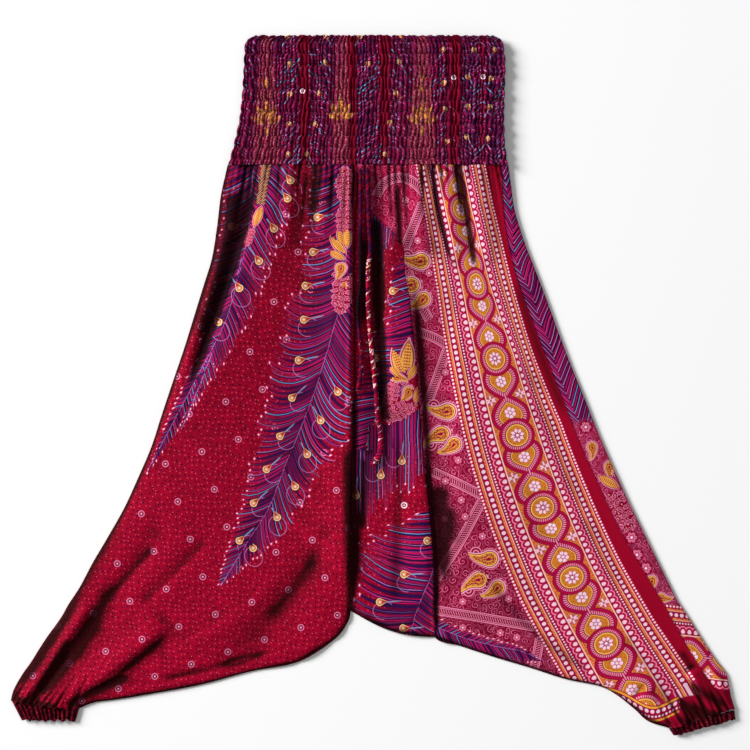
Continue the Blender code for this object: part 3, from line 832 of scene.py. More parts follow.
def draw_fans(x, y, here):
    """A pointed ornament of small curls and beads that narrows to both of its ends."""
    sway = split(noise(point(x, y), 0.11, 1.0, output="Color"))
    x, y = scaled(sway[0], 9.0, x - 4.5), scaled(sway[1], 9.0, y - 4.5)
    wide = maths("SQRT", larger(scaled(x * x, -1 / 700.0, 1.0), 0.0)) * 10.0
    off = abs(y) - scaled(abs(wrapped(x, 7.8)), -0.8, wide + 2.4)
    inside = below(off, 0.0, 0.6) * here
    lay(dye(226, 120, 160), below(off, 0.8, 0.6) * here)
    lay(dye(140, 0, 50), inside)
    turned = maths("ARCTAN2", wrapped(y, 7.4), wrapped(x, 7.8))
    out = radius(wrapped(x, 7.8), wrapped(y, 7.4))
    curl = abs(wrapped(scaled(turned, 2.2 / TURN, out), 2.2))
    lay(dye(228, 116, 158), below(curl, 0.45, 0.5) * below(out, 3.5, 0.4) * inside)
    beads = radius(wrapped(x + 3.9, 2.6), wrapped(y + 3.7, 7.4))
    lay(dye(232, 160, 140), below(beads, 0.6, 0.5) * above(out, 3.5, 0.4) * inside)


def draw_stems(x, y, here):
    """A straight stem with slanted gold and wine threads either side of its middle."""
    inside = below(abs(y), 6.2, 0.6) * stripe(x, -30.0, 28.0, 1.0) * here
    lay(WINE, inside)
    slant = wrapped(scaled(abs(y), 0.9, x), 2.6)
    lay(dye(226, 180, 120), below(abs(slant), 0.5, 0.5) * inside)
    lay(dye(120, 10, 50), below(abs(wrapped(x + y * 1.4, 5.2)), 0.9, 0.5) * inside * 0.8)


def draw_rings(x, y, here):
    lay(BLUSH, (stripe(radius(x, y), 2.7, 4.2, 0.6) + below(radius(x, y), 1.0, 0.6)) * here)

# %% All the motifs
MOTIF_DRAWINGS = {
    EYE: draw_eyes, PAISLEY: draw_paisleys, LEAF: draw_leaves, ROSETTE: draw_rosettes, FAN: draw_fans,
    STEM: draw_stems, RING: draw_rings, HANGING_EYE: draw_hanging_eyes,
}


def motifs(kinds):
    x, y, kind = attribute("motif")
    for each in kinds:
        here = below(abs(kind - float(each)), 0.5, 0.1)
        MOTIF_DRAWINGS[each](x, y, here)

# %% [markdown]
# ### Scrolled ground and lattice ribbons
# Behind the paisleys runs a fine vermicelli of curls and small flowers, crossed by narrow ribbons that are
# hatched with triangles.

# %% Scrolls and ribbons
SCROLL = 11.0  # size of one scroll's cell
SCROLL_PITCH = 3.5


def scrolled_ground(x, y):
    """Crimson covered with pale curls of line, one to a cell, and a vine between the cells."""
    place = point(x, y)
    patch = noise(place, 0.018, 2.0)
    ground = paint(dye(108, 0, 34), dye(170, 0, 58), maths("MULTIPLY_ADD", y, 0.0011, patch, clamp=True))
    bend = noise(place, 0.09, 1.0, output="Color")
    moved = node("VectorMath", operation="MULTIPLY_ADD")
    for socket, value in zip(moved.socket.node.inputs, (bend, (7.0, 7.0, 0.0), place)):
        wire_in(socket, value)
    cell = cells("Distance", moved, SCROLL)
    cell_node = cell.socket.node
    middle_x, middle_y, _ = split(Wire(cell_node.outputs["Position"]))
    turned = split(Wire(cell_node.outputs["Color"]))[0]
    near_x, near_y, _ = split(moved)
    dx, dy = near_x - middle_x, near_y - middle_y
    out = radius(dx, dy)
    around = maths("ARCTAN2", dy, dx) * (SCROLL_PITCH / TURN)
    curl = abs(wrapped(scaled(turned, 9.0, out + around), SCROLL_PITCH))
    ground = paint(ground, dye(230, 106, 152), below(curl, 0.36, 0.4) * below(out, 5.0, 0.5))
    crack = cells("Distance", moved, SCROLL, feature="DISTANCE_TO_EDGE") * SCROLL
    ground = paint(ground, dye(210, 84, 128), below(abs(crack - 0.6), 0.30, 0.4) * 0.4)
    fine = cells("Distance", place, 3.0) * 3.0
    return paint(ground, dye(220, 96, 138), below(fine, 0.4, 0.5) * above(out, 5.4, 0.5) * 0.5)


def ribbons():
    along, across, here = attribute("ribbon")
    off = abs(across)
    pale = dye(236, 134, 172)
    lay(dye(130, 0, 42), below(off, 7.4, 0.5) * here)
    lay(pale, (stripe(off, 5.2, 6.4, 0.4) + stripe(off, 3.2, 3.9, 0.4)) * here)
    hatch = wrapped(scaled(across, 0.6, along), 3.3)
    lay(pale, below(abs(hatch), 0.5, 0.5) * below(off, 2.4, 0.4) * here)
    lay(pale, below(radius(wrapped(along, 2.6), off - 4.55), 0.5, 0.4) * here)


print("scroll cells, mm:", SCROLL, "line to line:", SCROLL_PITCH)

# %% [markdown]
# ### The beaded border
# It is one long ribbon with rows of beads either side of a chain of medallions. Its outermost dots lie 63 mm
# either side of the middle, as printed. The chain is symmetric about each medallion, so one quarter of it is
# drawn and mirrored.

# %% Rows of beads
BORDER_EDGE = 65.2
MEDALLION_PITCH = 101.0
CROSSING = MEDALLION_PITCH / 2
HEART_RUN = 24.0  # from a crossing to the widest place of a heart
HEART_CLOSE = 17.5
HEART_HALF = 20.6
RIBBON_HALF = 5.0
DISC = 14.2
RING_OUT = 22.8
CARMINE = dye(172, 6, 62)
DARK_LINE = dye(118, 0, 46)
TICK = dye(232, 146, 178)
BEAD_PINK = dye(246, 198, 218)


def bead_row(under, along, across, centre, pitch, size, backing):
    x, y = wrapped(along, pitch), across - centre
    under = paint(under, dye(164, 2, 60), below(abs(y), backing, 0.4))
    bead = radius(x, y)
    under = paint(under, DARK_LINE, below(bead, size + 0.9, 0.6) * below(abs(y), backing + 0.4, 0.4))
    return paint(under, BEAD_PINK, below(bead, size, 0.5))


def flecked(x, y, plain, fleck, share=0.58):
    """A dye with small uneven flecks of another, as a block leaves it."""
    spots = noise(point(x, y), 0.6, 2.0)
    return paint(plain, fleck, above(spots, share, 0.08))


print("half width of the border, mm:", BORDER_EDGE)

# %% The border's rows
def beaded_border(along, across):
    """The border's colour, worked out from its middle outwards."""
    side = abs(across)
    right = over(across, 0.0)
    lean = scaled(right, 2.0, -1.0)
    gold = flecked(along, across, dye(222, 134, 54), dye(188, 56, 54), 0.52)
    colour = medallion_chain(gold, wrapped(along, MEDALLION_PITCH), across)
    colour = paint(colour, CARMINE, above(side, 26.4, 0.4))
    colour = paint(colour, dye(250, 190, 180), stripe(side, 25.9, 27.3, 0.4))
    mirrored = scaled(right, 3.4, along)
    tear_x, tear_y = wrapped(mirrored, 8.6), side - 31.7
    colour = paint(colour, DARK_LINE, stripe(side, 28.0, 30.2, 0.8) * 0.5)
    arch = radius(tear_x, side - 33.2)
    colour = paint(colour, dye(238, 140, 172), stripe(arch, 4.3, 5.4, 0.5) * above(side, 33.4, 0.5))
    tear = radius(tear_x * scaled(tear_y, 0.11, 1.1), tear_y * 0.95)
    colour = paint(colour, BEAD_PINK, below(tear, 2.75, 0.6))
    colour = bead_row(colour, mirrored, side, 41.9, 3.9, 1.15, 1.9)
    colour = bead_row(colour, mirrored, side, 52.3, 7.5, 2.5, 4.2)
    for level, shift in ((46.5, 0.65), (58.4, 0.5)):
        colour = paint(colour, gold, stripe(side + lean * shift, level - 1.1, level + 1.1, 0.4))
        pale = stripe(side - lean * 1.1, level - 0.45, level + 0.45, 0.4)
        colour = paint(colour, dye(244, 180, 164), pale)
    dots = radius(wrapped(along, 4.6), side - 63.2)
    return paint(colour, dye(250, 206, 220), below(dots, 1.4, 0.5))

# %% The chain of medallions
def medallion_chain(colour, along, across):
    """One medallion at the middle of each repeat, a heart on each side of it, and ribbons that cross."""
    x, y = abs(along), abs(across)
    run = CROSSING - x
    quarter = maths("MINIMUM", run * (math.pi / 2 / HEART_RUN), math.pi / 2)
    slope = maths("COSINE", quarter) * (HEART_HALF * math.pi / 2 / HEART_RUN)
    steep = maths("SQRT", scaled(slope, slope, 1.0))
    rising = (y - maths("SINE", quarter) * HEART_HALF) / steep
    closing = radius(larger(run - HEART_RUN, 0.0) * (HEART_HALF / HEART_CLOSE), y) - y
    off = rising + closing
    ochre = flecked(along, across, dye(206, 126, 38), dye(180, 60, 46), 0.58)
    inside = below(off, -RIBBON_HALF, 0.4)
    colour = paint(colour, dye(240, 186, 90), inside)
    colour = paint(colour, ochre, below(off, -RIBBON_HALF - 1.2, 0.5))
    out, between = petals(x - 30.0, y, 6)
    colour = paint(colour, dye(170, 60, 120), below(out, 6.6, 1.4) * inside * 0.7)
    berries = below(radius(out - 5.0, between * 2.6), 2.3, 0.5) + below(out, 1.9, 0.5)
    colour = paint(colour, dye(246, 206, 226), berries * inside)
    out, between = petals(run, y - 20.6, 5)
    leaf = below(between * out, 1.7, 0.6) * stripe(out, 1.6, 6.4, 0.6)
    outside = above(off, RIBBON_HALF, 0.4)
    colour = paint(colour, dye(170, 60, 90), below(out, 7.0, 1.0) * outside * 0.5)
    colour = paint(colour, dye(240, 196, 220), leaf * outside)
    colour = paint(colour, DARK_LINE, below(abs(off), RIBBON_HALF + 0.2, 0.4))
    colour = paint(colour, CARMINE, below(abs(off), RIBBON_HALF - 0.7, 0.4))
    lane = stripe(off, -RIBBON_HALF + 0.8, 0.3, 0.4)
    turn = maths("ARCTAN2", y, x - 28.0) * (42 / TURN)
    colour = paint(colour, DARK_LINE, stripe(off, 0.2, 0.9, 0.4))
    colour = paint(colour, TICK, lane * below(abs(wrapped(turn, 1.0)), 0.24, 0.2))
    out, between = petals(along, across, 8)
    colour = paint(colour, DARK_LINE, below(out, RING_OUT, 0.4))
    colour = paint(colour, CARMINE, below(out, RING_OUT - 0.8, 0.4))
    colour = paint(colour, DARK_LINE, stripe(out, DISC + 4.6, DISC + 5.2, 0.4))
    turn = maths("ARCTAN2", across, along) * (44 / TURN)
    lane = stripe(out, DISC + 1.2, DISC + 4.4, 0.5)
    colour = paint(colour, TICK, lane * below(abs(wrapped(turn, 1.0)), 0.24, 0.2))
    colour = paint(colour, DARK_LINE, below(out, DISC + 0.9, 0.4))
    colour = paint(colour, dye(240, 186, 90), below(out, DISC, 0.4))
    colour = paint(colour, ochre, below(out, DISC - 1.4, 0.5))
    colour = paint(colour, dye(170, 60, 120), below(out, 7.4, 1.4) * 0.8)
    petal = below(scaled(between, 3.4, abs(out - 6.0)), 3.2, 0.6)
    colour = paint(colour, dye(246, 206, 226), petal)
    return paint(colour, dye(252, 226, 240), below(out, 1.7, 0.5))


print("print layers drawn:", len(MOTIF_DRAWINGS), "motifs")

# %% [markdown]
# ## Where the print lies on the cloth
# Each plume, ribbon and motif has one row in a short table, in millimetres on the laid garment. A face of the
# cloth takes the nearest one, and its corners store where they are in that one's own frame. Two faces that
# meet between two motifs may disagree, and that doesn't show, because only the ground is drawn there.

# %% Plumes
Plume = namedtuple("Plume", "zone pitch sweep curl spine outer inner")
PLUMES = [
    Plume("leg", 7.6, 0.86, 0.0088, [(-34, 298), (-35, 245), (-35, 178), (-39, 125), (-54, 65), (-67, 21),
        (-83, -27), (-102, -75), (-118, -114), (-138, -165), (-166, -211), (-186, -243), (-207, -278)],
        [(0, 52), (60, 60), (150, 62), (242, 76), (318, 67), (355, 62), (420, 50), (485, 40), (540, 25),
        (585, 13), (612, 0)], [(0, 40), (300, 62), (370, 69), (392, 58), (427, 50), (456, 46), (487, 40),
        (515, 36), (540, 27), (575, 13), (606, 0)]),
    Plume("leg", 8.0, 0.72, 0.0, [(-141, 298), (-147, 245), (-154, 221), (-170, 178), (-178, 151),
        (-186, 111), (-201, 71), (-230, 15), (-267, -55), (-306, -129)], [(0, 8), (124, 12), (236, 12),
        (299, 14), (378, 9), (455, 0)], [(0, 46), (60, 45), (124, 42), (152, 39), (193, 34), (236, 29),
        (299, 23), (378, 13), (461, 0)]),
    Plume("leg", 7.6, 0.9, 0.008, [(-158, 298), (-162, 245), (-167, 191), (-177, 145), (-193, 91),
        (-217, 31), (-243, -35), (-270, -95)], [(0, 48), (110, 42), (200, 35), (260, 24), (330, 9),
        (390, 0)], [(0, 12), (200, 10), (390, 0)]),
    Plume("centre", 6.0, 0.0, 0.0, [(38, 232), (16, 234), (-6, 232)], [(0, 0), (44, 0)], [(0, 50),
        (14, 62), (28, 92), (43, 80), (45, 0)]),
    Plume("centre", 7.8, 0.30, 0.0, [(54, 167), (58, 111), (58, 58), (47, 15), (34, -15)], [(0, 20),
        (10, 36), (56, 42), (90, 48), (112, 78), (150, 66), (185, 40), (190, 0)], [(0, 6), (190, 6)]),
    Plume("centre", 7.4, 0.60, 0.0, [(26, -1), (10, -33), (1, -55), (-9, -87), (-12, -99)], [(0, 52),
        (60, 44), (94, 36), (108, 0)], [(0, 1), (94, 1), (108, 0)]),
    Plume("centre", 6.0, 0.50, 0.0, [(77, -26), (53, -37), (37, -45), (21, -54)], [(0, 0), (60, 0)],
        [(0, 86), (15, 86), (45, 96), (70, 102), (104, 96), (108, 0)]),
    Plume("centre", 5.6, 0.0, 0.0, [(24, -54), (-6, -54)], [(0, 0), (30, 0)], [(0, 112), (12, 122),
        (24, 136), (30, 136), (32, 0)]),
    Plume("centre", 5.6, 0.0, 0.0, [(0, -87), (-38, -87)], [(0, 0), (38, 0)], [(0, 106), (26, 118),
        (36, 130)]),
    Plume("centre", 7.4, 0.36, 0.0034, [(96, -150), (90, -200), (80, -250), (66, -284), (56, -312),
        (48, -345), (40, -380)], [(0, 0), (40, 60), (75, 104), (140, 110), (200, 100)], [(0, 20),
        (200, 40)]),
    Plume("border", 7.0, 0.9, 0.0, [(70, -318), (117, -337), (160, -349), (200, -357), (232, -372)],
        [(0, 40), (90, 34), (140, 20), (168, 0)], [(0, 13), (60, 12), (120, 8), (165, 0)]),
]
print("plumes:", len(PLUMES))

# %% Places of the motifs
# For each zone of the cloth: kind, size, angle, flip and the places that the motif stands at.
MOTIFS = {
    "leg": [
        (HANGING_EYE, 1.0, -55, 1, [(-109, 270), (-113, 246), (-131, 206), (-151, 163), (-177, 127),
            (-205, 82)]),
        (EYE, 1.0, 192, -1, [(-73, 221), (-79, 175), (-89, 130), (-91, 85), (-98, 31), (-187, 209)]),
        (EYE, 0.95, 222, -1, [(-107, -19), (-123, -70), (-141, -114), (-158, -159), (-177, -209)]),
        (HANGING_EYE, 0.95, -62, 1, [(-46, -11), (-69, -49), (-87, -94), (-103, -137), (-127, -178),
            (-159, -219)]),
        (STEM, 1.0, -99, 1, [(-145, 266)]), (LEAF, 1.15, -111, 1, [(-147, 236)]),
        (FAN, 0.55, -110, 1, [(-164, 196)]), (FAN, 1.0, -91, 1, [(-36, 262), (-36, 216)]),
        (FAN, 1.15, -98, 1, [(-40, 122)]), (LEAF, 1.2, 92, 1, [(-33, 178)]),
        (LEAF, 1.25, 112, 1, [(-34, 176)]), (LEAF, 1.25, 132, 1, [(-35, 171)]),
        (LEAF, 1.0, 154, 1, [(-36, 165)]), (PAISLEY, 0.6, 95, 1, [(-42, 154)]),
        (PAISLEY, 0.42, 250, -1, [(-38, 126)]),
    ],
    "centre": [
        (EYE, 0.95, 195, -1, [(27, 123), (5, 34)]),
        (EYE, 0.95, -95, 1, [(39, -103), (11, -122), (-22, -149)]),
        (EYE, 1.0, 184, -1, [(73, -209), (42, -254), (10, -291), (41, -326)]),
        (LEAF, 2.05, 84, 1, [(43, 5)]), (LEAF, 1.75, 108, 1, [(41, 5)]), (LEAF, 1.15, 130, 1, [(40, 6)]),
        (LEAF, 1.1, 60, 1, [(46, 4)]), (LEAF, 0.9, -100, 1, [(61, -4)]), (PAISLEY, 0.55, 190, 1, [(31, 8)]),
        (PAISLEY, 0.62, 80, 1, [(48, -10)]), (FAN, 0.95, 29, 1, [(38, -35)]),
        (FAN, 0.8, 75, 1, [(25, -14)]), (LEAF, 0.8, -80, 1, [(31, 216)]), (RING, 1.0, 0, 1, [(42, -162)]),
    ],
    "border": [
        (PAISLEY, 0.95, 17, 1, [(157, -233), (101, -37), (66, 163)]),
        (PAISLEY, 0.95, 4, -1, [(143, -261), (93, -67), (53, 131)]),
        (PAISLEY, 0.84, 56, 1, [(167, -271), (109, -80), (68, 113)]),
        (ROSETTE, 0.85, 20, 1, [(120, -325), (170, -332), (192, -338), (123, -177), (146, -203),
            (181, -287), (118, -155), (114, -102), (44, 244), (60, 190), (75, 147), (92, 84), (97, 15),
            (120, -290), (96, -180), (97, -130)]),
    ],
    "band": [
        (EYE, 0.62, 60, 1, [(-110, 425), (-110, 385), (-111, 345), (-112, 305), (-6, 425), (38, 383),
            (-113, 462), (94, 444), (95, 400), (96, 365), (99, 322), (162, 444), (158, 406), (156, 368),
            (153, 326), (-16, 462)]),
        (EYE, 0.62, 120, 1, [(-63, 427), (-71, 386), (-76, 345), (-87, 305), (38, 463), (35, 428),
            (31, 386), (23, 347), (17, 305), (135, 444), (127, 408), (127, 369), (125, 328), (-62, 462)]),
        (LEAF, 0.81, 30, 1, [(-139, 345), (-42, 350), (68, 345)]),
        (LEAF, 0.94, 60, 1, [(-140, 348), (-42, 352), (67, 348)]),
        (LEAF, 1.04, 90, 1, [(-141, 350), (-42, 355), (66, 350)]),
        (LEAF, 0.94, 120, 1, [(-142, 348), (-43, 352), (65, 348)]),
        (LEAF, 0.81, 150, 1, [(-143, 345), (-43, 350), (64, 345)]),
        (LEAF, 0.6, -90, 1, [(-141, 344), (66, 344)]),
        (LEAF, 0.6, 92, 1, [(-141, 392), (66, 400), (65, 384)]),
        (RING, 0.8, 0, 1, [(-93, 389), (108, 407), (147, 408)]),
    ],
    "wrap": [
        (PAISLEY, 0.6, 115, 1, [(292, -84)]), (PAISLEY, 0.62, 70, -1, [(316, -110)]),
        (LEAF, 1.3, -32, 1, [(300, -122)]), (FAN, 1.25, -64, 1, [(330, -168)]),
        (ROSETTE, 1.2, 0, 1, [(284, -58), (345, -205), (352, -228), (364, -246)]),
        (PAISLEY, 0.6, 95, 1, [(372, -262)]), (PAISLEY, 0.55, 150, -1, [(384, -285)]),
    ],
}
# Where the middle of each kind's cell lies in its own frame, and how far the cell reaches.
CELLS = {
    EYE: (-6, -8, 24), HANGING_EYE: (1, -4, 25), PAISLEY: (-10, 2, 27), LEAF: (13, 0, 14.5),
    ROSETTE: (0, 0, 9), FAN: (0, 0, 27), STEM: (0, 0, 30), RING: (0, 0, 6),
}
print("zones:", ", ".join(MOTIFS))

# %% Ribbons and medallions
RIBBONS = [
    [(5, 249), (15, 266), (34, 274), (53, 269), (69, 253)],
    [(67, 241), (53, 205), (38, 169)],
    [(61, 69), (82, 61), (101, 50)],
    [(101, 50), (85, 5), (69, -38)],
    [(79, -117), (110, -131), (146, -149)],
    [(145, -157), (117, -209), (84, -261)],
    [(79, -301), (143, -311), (216, -324)],
    [(223, -339), (219, -361), (214, -385)],
    [(76, 84), (58, 118), (47, 150)],
]
# Medallions of the border from the waist down: x, y, then how far from there across the border its inner
# dots, the chain's inner line, the chain's middle, its outer line and the outer dots lie. A fold takes in
# part of the chain near the waist.
BORDER = np.array([
    (112, 334, -61, -36, -15, -1, 28), (131, 234, -61, -33.7, -13, 0, 29), (147, 134, -61, -28, -7, 8, 37),
    (166, 34, -64, -26.5, -3.5, 22, 47), (193, -69, -69, -29, 0, 27, 60),
    (227, -165, -74, -31.5, 0, 27.5, 63), (266, -258, -75, -32, 0, 28.5, 66),
    (311, -346, -72, -31, 0, 30, 70), (360, -434, -70, -30, 0, 34, 79),
], float)
BORDER_LEVELS = (-63.5, -26.6, 0.0, 26.6, 63.5)
print("ribbons:", len(RIBBONS), "medallions:", len(BORDER))

# %% Writing the print's places into the cloth
def dense_path(points, step=7.0):
    points = np.array(points, float)
    count = max(2, int(np.linalg.norm(np.diff(points, axis=0), axis=1).sum() / step))
    return spline(points, np.linspace(0, len(points) - 1, count + 1))


def claim(marks, nearest, own, values):
    """Gives the faces that lie nearest to one row of a table that row's numbers."""
    taken = own < nearest
    nearest[taken] = own[taken]
    marks[taken] = values[taken]


def plume_marks(plan, faces, zone):
    """(barb number, across, share) at the corners of each face, for the plume that reaches it."""
    marks = np.zeros((len(faces), 4, 3))
    marks[..., 2] = 9.0
    x, y = plan[:, 0], plan[:, 1]
    nearest = np.full(len(faces), 1.0)
    for plume in PLUMES:
        if plume.zone != zone:
            continue
        path = dense_path(plume.spine)
        length = np.linalg.norm(np.diff(path, axis=0), axis=1).sum()
        along, across, _ = path_place(path, x, y)
        reach_in = np.interp(along, *np.array(plume.inner, float).T)
        reach_out = np.interp(along, *np.array(plume.outer, float).T)
        reach = np.where(across > 0, reach_in, reach_out)
        off = np.abs(across)
        root = along - (plume.sweep * off - plume.curl * off**2) * (1 + along / 600)
        share = off / np.maximum(reach, 0.5) + 5.0 * ((along < -4) | (root > length + 3))
        values = np.stack([root / plume.pitch, across, share], axis=-1)[faces]
        claim(marks, nearest, share[faces].mean(axis=1), values)
    return marks


def motif_marks(plan, faces, zone):
    """(x, y, kind) at the corners of each face, in the frame of the motif that it belongs to."""
    rows = [
        (kind, size, math.radians(angle), flip, *place)
        for kind, size, angle, flip, places in MOTIFS[zone] for place in places
    ]
    marks = np.zeros((len(faces), 4, 3))
    centres = plan[faces].mean(axis=1)
    nearest = np.full(len(faces), 1.0)
    for kind, size, angle, flip, x, y in rows:
        cos, sin = math.cos(angle), math.sin(angle)
        cell_x, cell_y, reach = CELLS[kind]
        middle_x = x + (cell_x * cos - flip * cell_y * sin) * size
        middle_y = y + (cell_x * sin + flip * cell_y * cos) * size
        far = np.hypot(centres[:, 0] - middle_x, centres[:, 1] - middle_y) / (reach * size)
        dx, dy = plan[faces, 0] - x, plan[faces, 1] - y
        along, across = (dx * cos + dy * sin) / size, flip * (dy * cos - dx * sin) / size
        claim(marks, nearest, far, np.stack([along, across, np.full(dx.shape, float(kind))], axis=-1))
    return marks

# %% Ribbons and the border on the cloth
def ribbon_marks(plan, faces):
    marks = np.zeros((len(faces), 4, 3))
    nearest = np.full(len(faces), 7.5)
    for points in RIBBONS:
        along, across, place = path_place(dense_path(points), plan[:, 0], plan[:, 1])
        off = np.abs(across) + 99 * ((place < -0.01) | (place > 1.01))
        values = np.stack([along, across, np.ones(len(plan))], axis=-1)[faces]
        claim(marks, nearest, off[faces].mean(axis=1), values)
    return marks


def border_marks(plan, faces):
    """(along, across, 0): the medallions fall on whole pitches, and across meets the border's levels."""
    path = dense_path(BORDER[:, :2])
    along, across, _ = path_place(path, plan[:, 0], plan[:, 1])
    at_medallions = path_place(path, BORDER[:, 0], BORDER[:, 1])[0]
    places = [np.interp(along, at_medallions, BORDER[:, column]) for column in range(2, 7)]
    level = np.full(len(plan), BORDER_LEVELS[0])
    for k, (start, end) in enumerate(zip(places[:-1], places[1:])):
        share = (across - start) / (end - start)
        low = -9.0 if k == 0 else 0.0
        high = 9.0 if k == len(places) - 2 else 1.0
        level += (BORDER_LEVELS[k + 1] - BORDER_LEVELS[k]) * np.clip(share, low, high)
    run = np.interp(along, at_medallions, MEDALLION_PITCH * np.arange(len(BORDER)))
    return np.stack([run, level, np.zeros(len(plan))], axis=-1)[faces]


def write_marks(piece, name, marks):
    """Stores three numbers at each corner of the piece's faces."""
    made = piece.data.attributes.new(name, "FLOAT_VECTOR", "CORNER")
    made.data.foreach_set("vector", np.ascontiguousarray(marks, np.float32).ravel())


placed = sum(len(row[-1]) for rows in MOTIFS.values() for row in rows)
print("motifs placed:", placed, "plumes:", len(PLUMES), "ribbons:", len(RIBBONS))

# %% [markdown]
# ## Fine cloth
# Each panel is a closed thin wall: the upper side comes from the height of the front layer, the lower side
# lies one cloth's thickness under it, and a rim joins the two. Rows and columns about 3 mm apart are fine
# enough for the narrow gathers. The gathers under the band and above the cuffs are many and alike, so a loop
# draws them from a fixed seed, while the creases that show one by one keep their rows in the table above.

# %% Gathers
Gather = namedtuple("Gather", "x y dx dy depth width length")


def waist_gathers():
    """Short troughs that run down from the band, fanned like the cloth."""
    draw = np.random.default_rng(11)
    rows = []
    x = -188.0
    while x < 178.0:
        lean = x / 900.0 + draw.uniform(-0.03, 0.03)
        rows.append(Gather(x, WAIST_Y + 3, lean, -1.0, draw.uniform(1.1, 3.2), draw.uniform(1.7, 3.0),
                           draw.uniform(18, 80)))
        x += draw.uniform(5.0, 11.0)
    return rows


def cuff_gathers(start, end, dx, dy, seed):
    """Short troughs from a cuff's line up into the leg."""
    draw = np.random.default_rng(seed)
    rows = []
    share = 0.04
    while share < 0.97:
        x, y = (start[k] + (end[k] - start[k]) * share for k in (0, 1))
        rows.append(Gather(x, y, dx + draw.uniform(-0.12, 0.12), dy + draw.uniform(-0.12, 0.12),
                           draw.uniform(1.8, 3.6), draw.uniform(2.0, 3.4), draw.uniform(18, 48)))
        share += draw.uniform(0.07, 0.13)
    return rows


GATHERS = waist_gathers()
GATHERS += cuff_gathers((-482, -422), (-391, -433), 0.55, 0.83, 5)
GATHERS += cuff_gathers((394, -459), (483, -434), -0.45, 0.89, 8)


def gather_depth(x, y):
    depth = np.zeros(x.shape)
    for g in GATHERS:
        near = np.hypot(x - g.x, y - g.y) < 2.6 * g.length
        length = math.hypot(g.dx, g.dy)
        ax, ay = g.dx / length, g.dy / length
        down = (x[near] - g.x) * ax + (y[near] - g.y) * ay
        off = (y[near] - g.y) * ax - (x[near] - g.x) * ay
        fade = np.exp(-((np.maximum(down, 0) / g.length) ** 2)) * smooth(-6, 0, down)
        depth[near] = np.maximum(depth[near], g.depth * np.exp(-((off / g.width) ** 2)) * fade)
    return depth


STEP_UP = 2.0
STEP_DOWN = 2.4
STEP_RUN = 11.0


def seam_step(x, y):
    """Low down, the centre panel's edge stands a little proud and the left front dips beside it."""
    _, across, _ = path_place(FRONT_SEAM, x, y)
    dip = -STEP_DOWN * smooth(STEP_RUN, 0, across)
    rise = STEP_UP * smooth(0.6 * STEP_RUN, 0, -across)
    return np.where(across > 0, dip, rise) * smooth(-95, -150, y) * smooth(-350, -300, y)


def cloth_height(x, y):
    """Top of the fine front layer with its gathers, which stop short of the side seams."""
    settle = smooth(2.0, 9.0, edge_distance(x, y))
    top = front_height(x, y)
    top = top + hem_lift(np.column_stack([x, y])) * np.maximum(HANG_LEVEL - top, 0)
    return top + (seam_step(x, y) - gather_depth(x, y)) * settle


print("gathers:", len(GATHERS))

# %% [markdown]
# A cuff is sewn inside the end of its leg, so the leg's last millimetres hang out over it in an uneven edge.

# %% Hems that hang over the cuffs
HEMS = (((-482.0, -422.0), (-391.0, -433.0), 1.3), ((394.0, -459.0), (483.0, -434.0), 4.1))
HANG = 2.6
HANG_LEVEL = 7.3
HANG_REACH = 16.0


def hem_places(plan):
    """For each hem: how far inside the leg, share of the hem's length, its outward direction and its seed."""
    for start, end, seed in HEMS:
        run = np.subtract(end, start)
        length = np.hypot(*run)
        outward = np.array([run[1], -run[0]]) / length
        from_start = plan - start
        share = from_start @ run / length**2
        inside = np.where((share > -0.15) & (share < 1.15), -(from_start @ outward), 1e9)
        yield inside, np.clip(share, 0, 1), outward, seed


def hung_over(plan):
    """Moves the last few millimetres of a leg out over its cuff, unevenly."""
    plan = np.array(plan, float)
    for inside, share, outward, seed in hem_places(plan):
        wave = 1 + 0.6 * np.sin(31 * share + seed) + 0.4 * np.sin(67 * share + 2 * seed)
        reach = HANG * wave * np.sin(math.pi * share) ** 0.5 * smooth(HANG_REACH, 0, inside)
        plan += reach[:, None] * outward
    return plan


def hem_lift(plan):
    """How far the hem rises to clear its cuff."""
    low = np.zeros(len(plan))
    for inside, share, _, _ in hem_places(plan):
        low = np.maximum(low, smooth(10, 2, np.abs(inside)) * np.sin(math.pi * share) ** 0.4)
    return low


print("length of the hems, mm:", [round(float(np.hypot(*np.subtract(hem[1], hem[0])))) for hem in HEMS])

# %% [markdown]
# A grid of quads gives each panel its outer side. The same quads turned over, one thickness below, are its
# inner side, and the edges that only one quad has are where the rim goes.

# %% Grids and walls
CLOTH = 0.7  # thickness of the fine cloth
CELL = 2.9
LEG_COLUMNS = 100
CENTRE_COLUMNS = 34
BORDER_COLUMNS = 104


def fine_rows(table, first, last, step=CELL):
    """Fractional row places of a table, so that no edge is longer than a step."""
    places = []
    for k in range(first, last):
        gap = table[k + 1] - table[k]
        longest = max(math.hypot(gap[i], gap[i + 1]) for i in range(0, len(gap), 2))
        places.extend(k + np.linspace(0, 1, math.ceil(longest / step), endpoint=False))
    return np.array(places + [last])


def grid(rows, columns, index=None):
    """Quads of a grid that face up when its rows run down and its columns run to the right."""
    r, c = np.meshgrid(np.arange(rows - 1), np.arange(columns - 1), indexing="ij")
    at = index or (lambda row, column: row * columns + column)
    return np.stack([at(r, c), at(r + 1, c), at(r + 1, c + 1), at(r, c + 1)], axis=-1).reshape(-1, 4)


def pulled_back(start, end, gap):
    """The end points moved back towards the start ones by a gap."""
    away = end - start
    return end - away * (gap / np.linalg.norm(away, axis=1))[:, None]


def rows_between(start, end, columns):
    share = np.linspace(0, 1, columns)[None, :, None]
    return start[:, None, :] * (1 - share) + end[:, None, :] * share


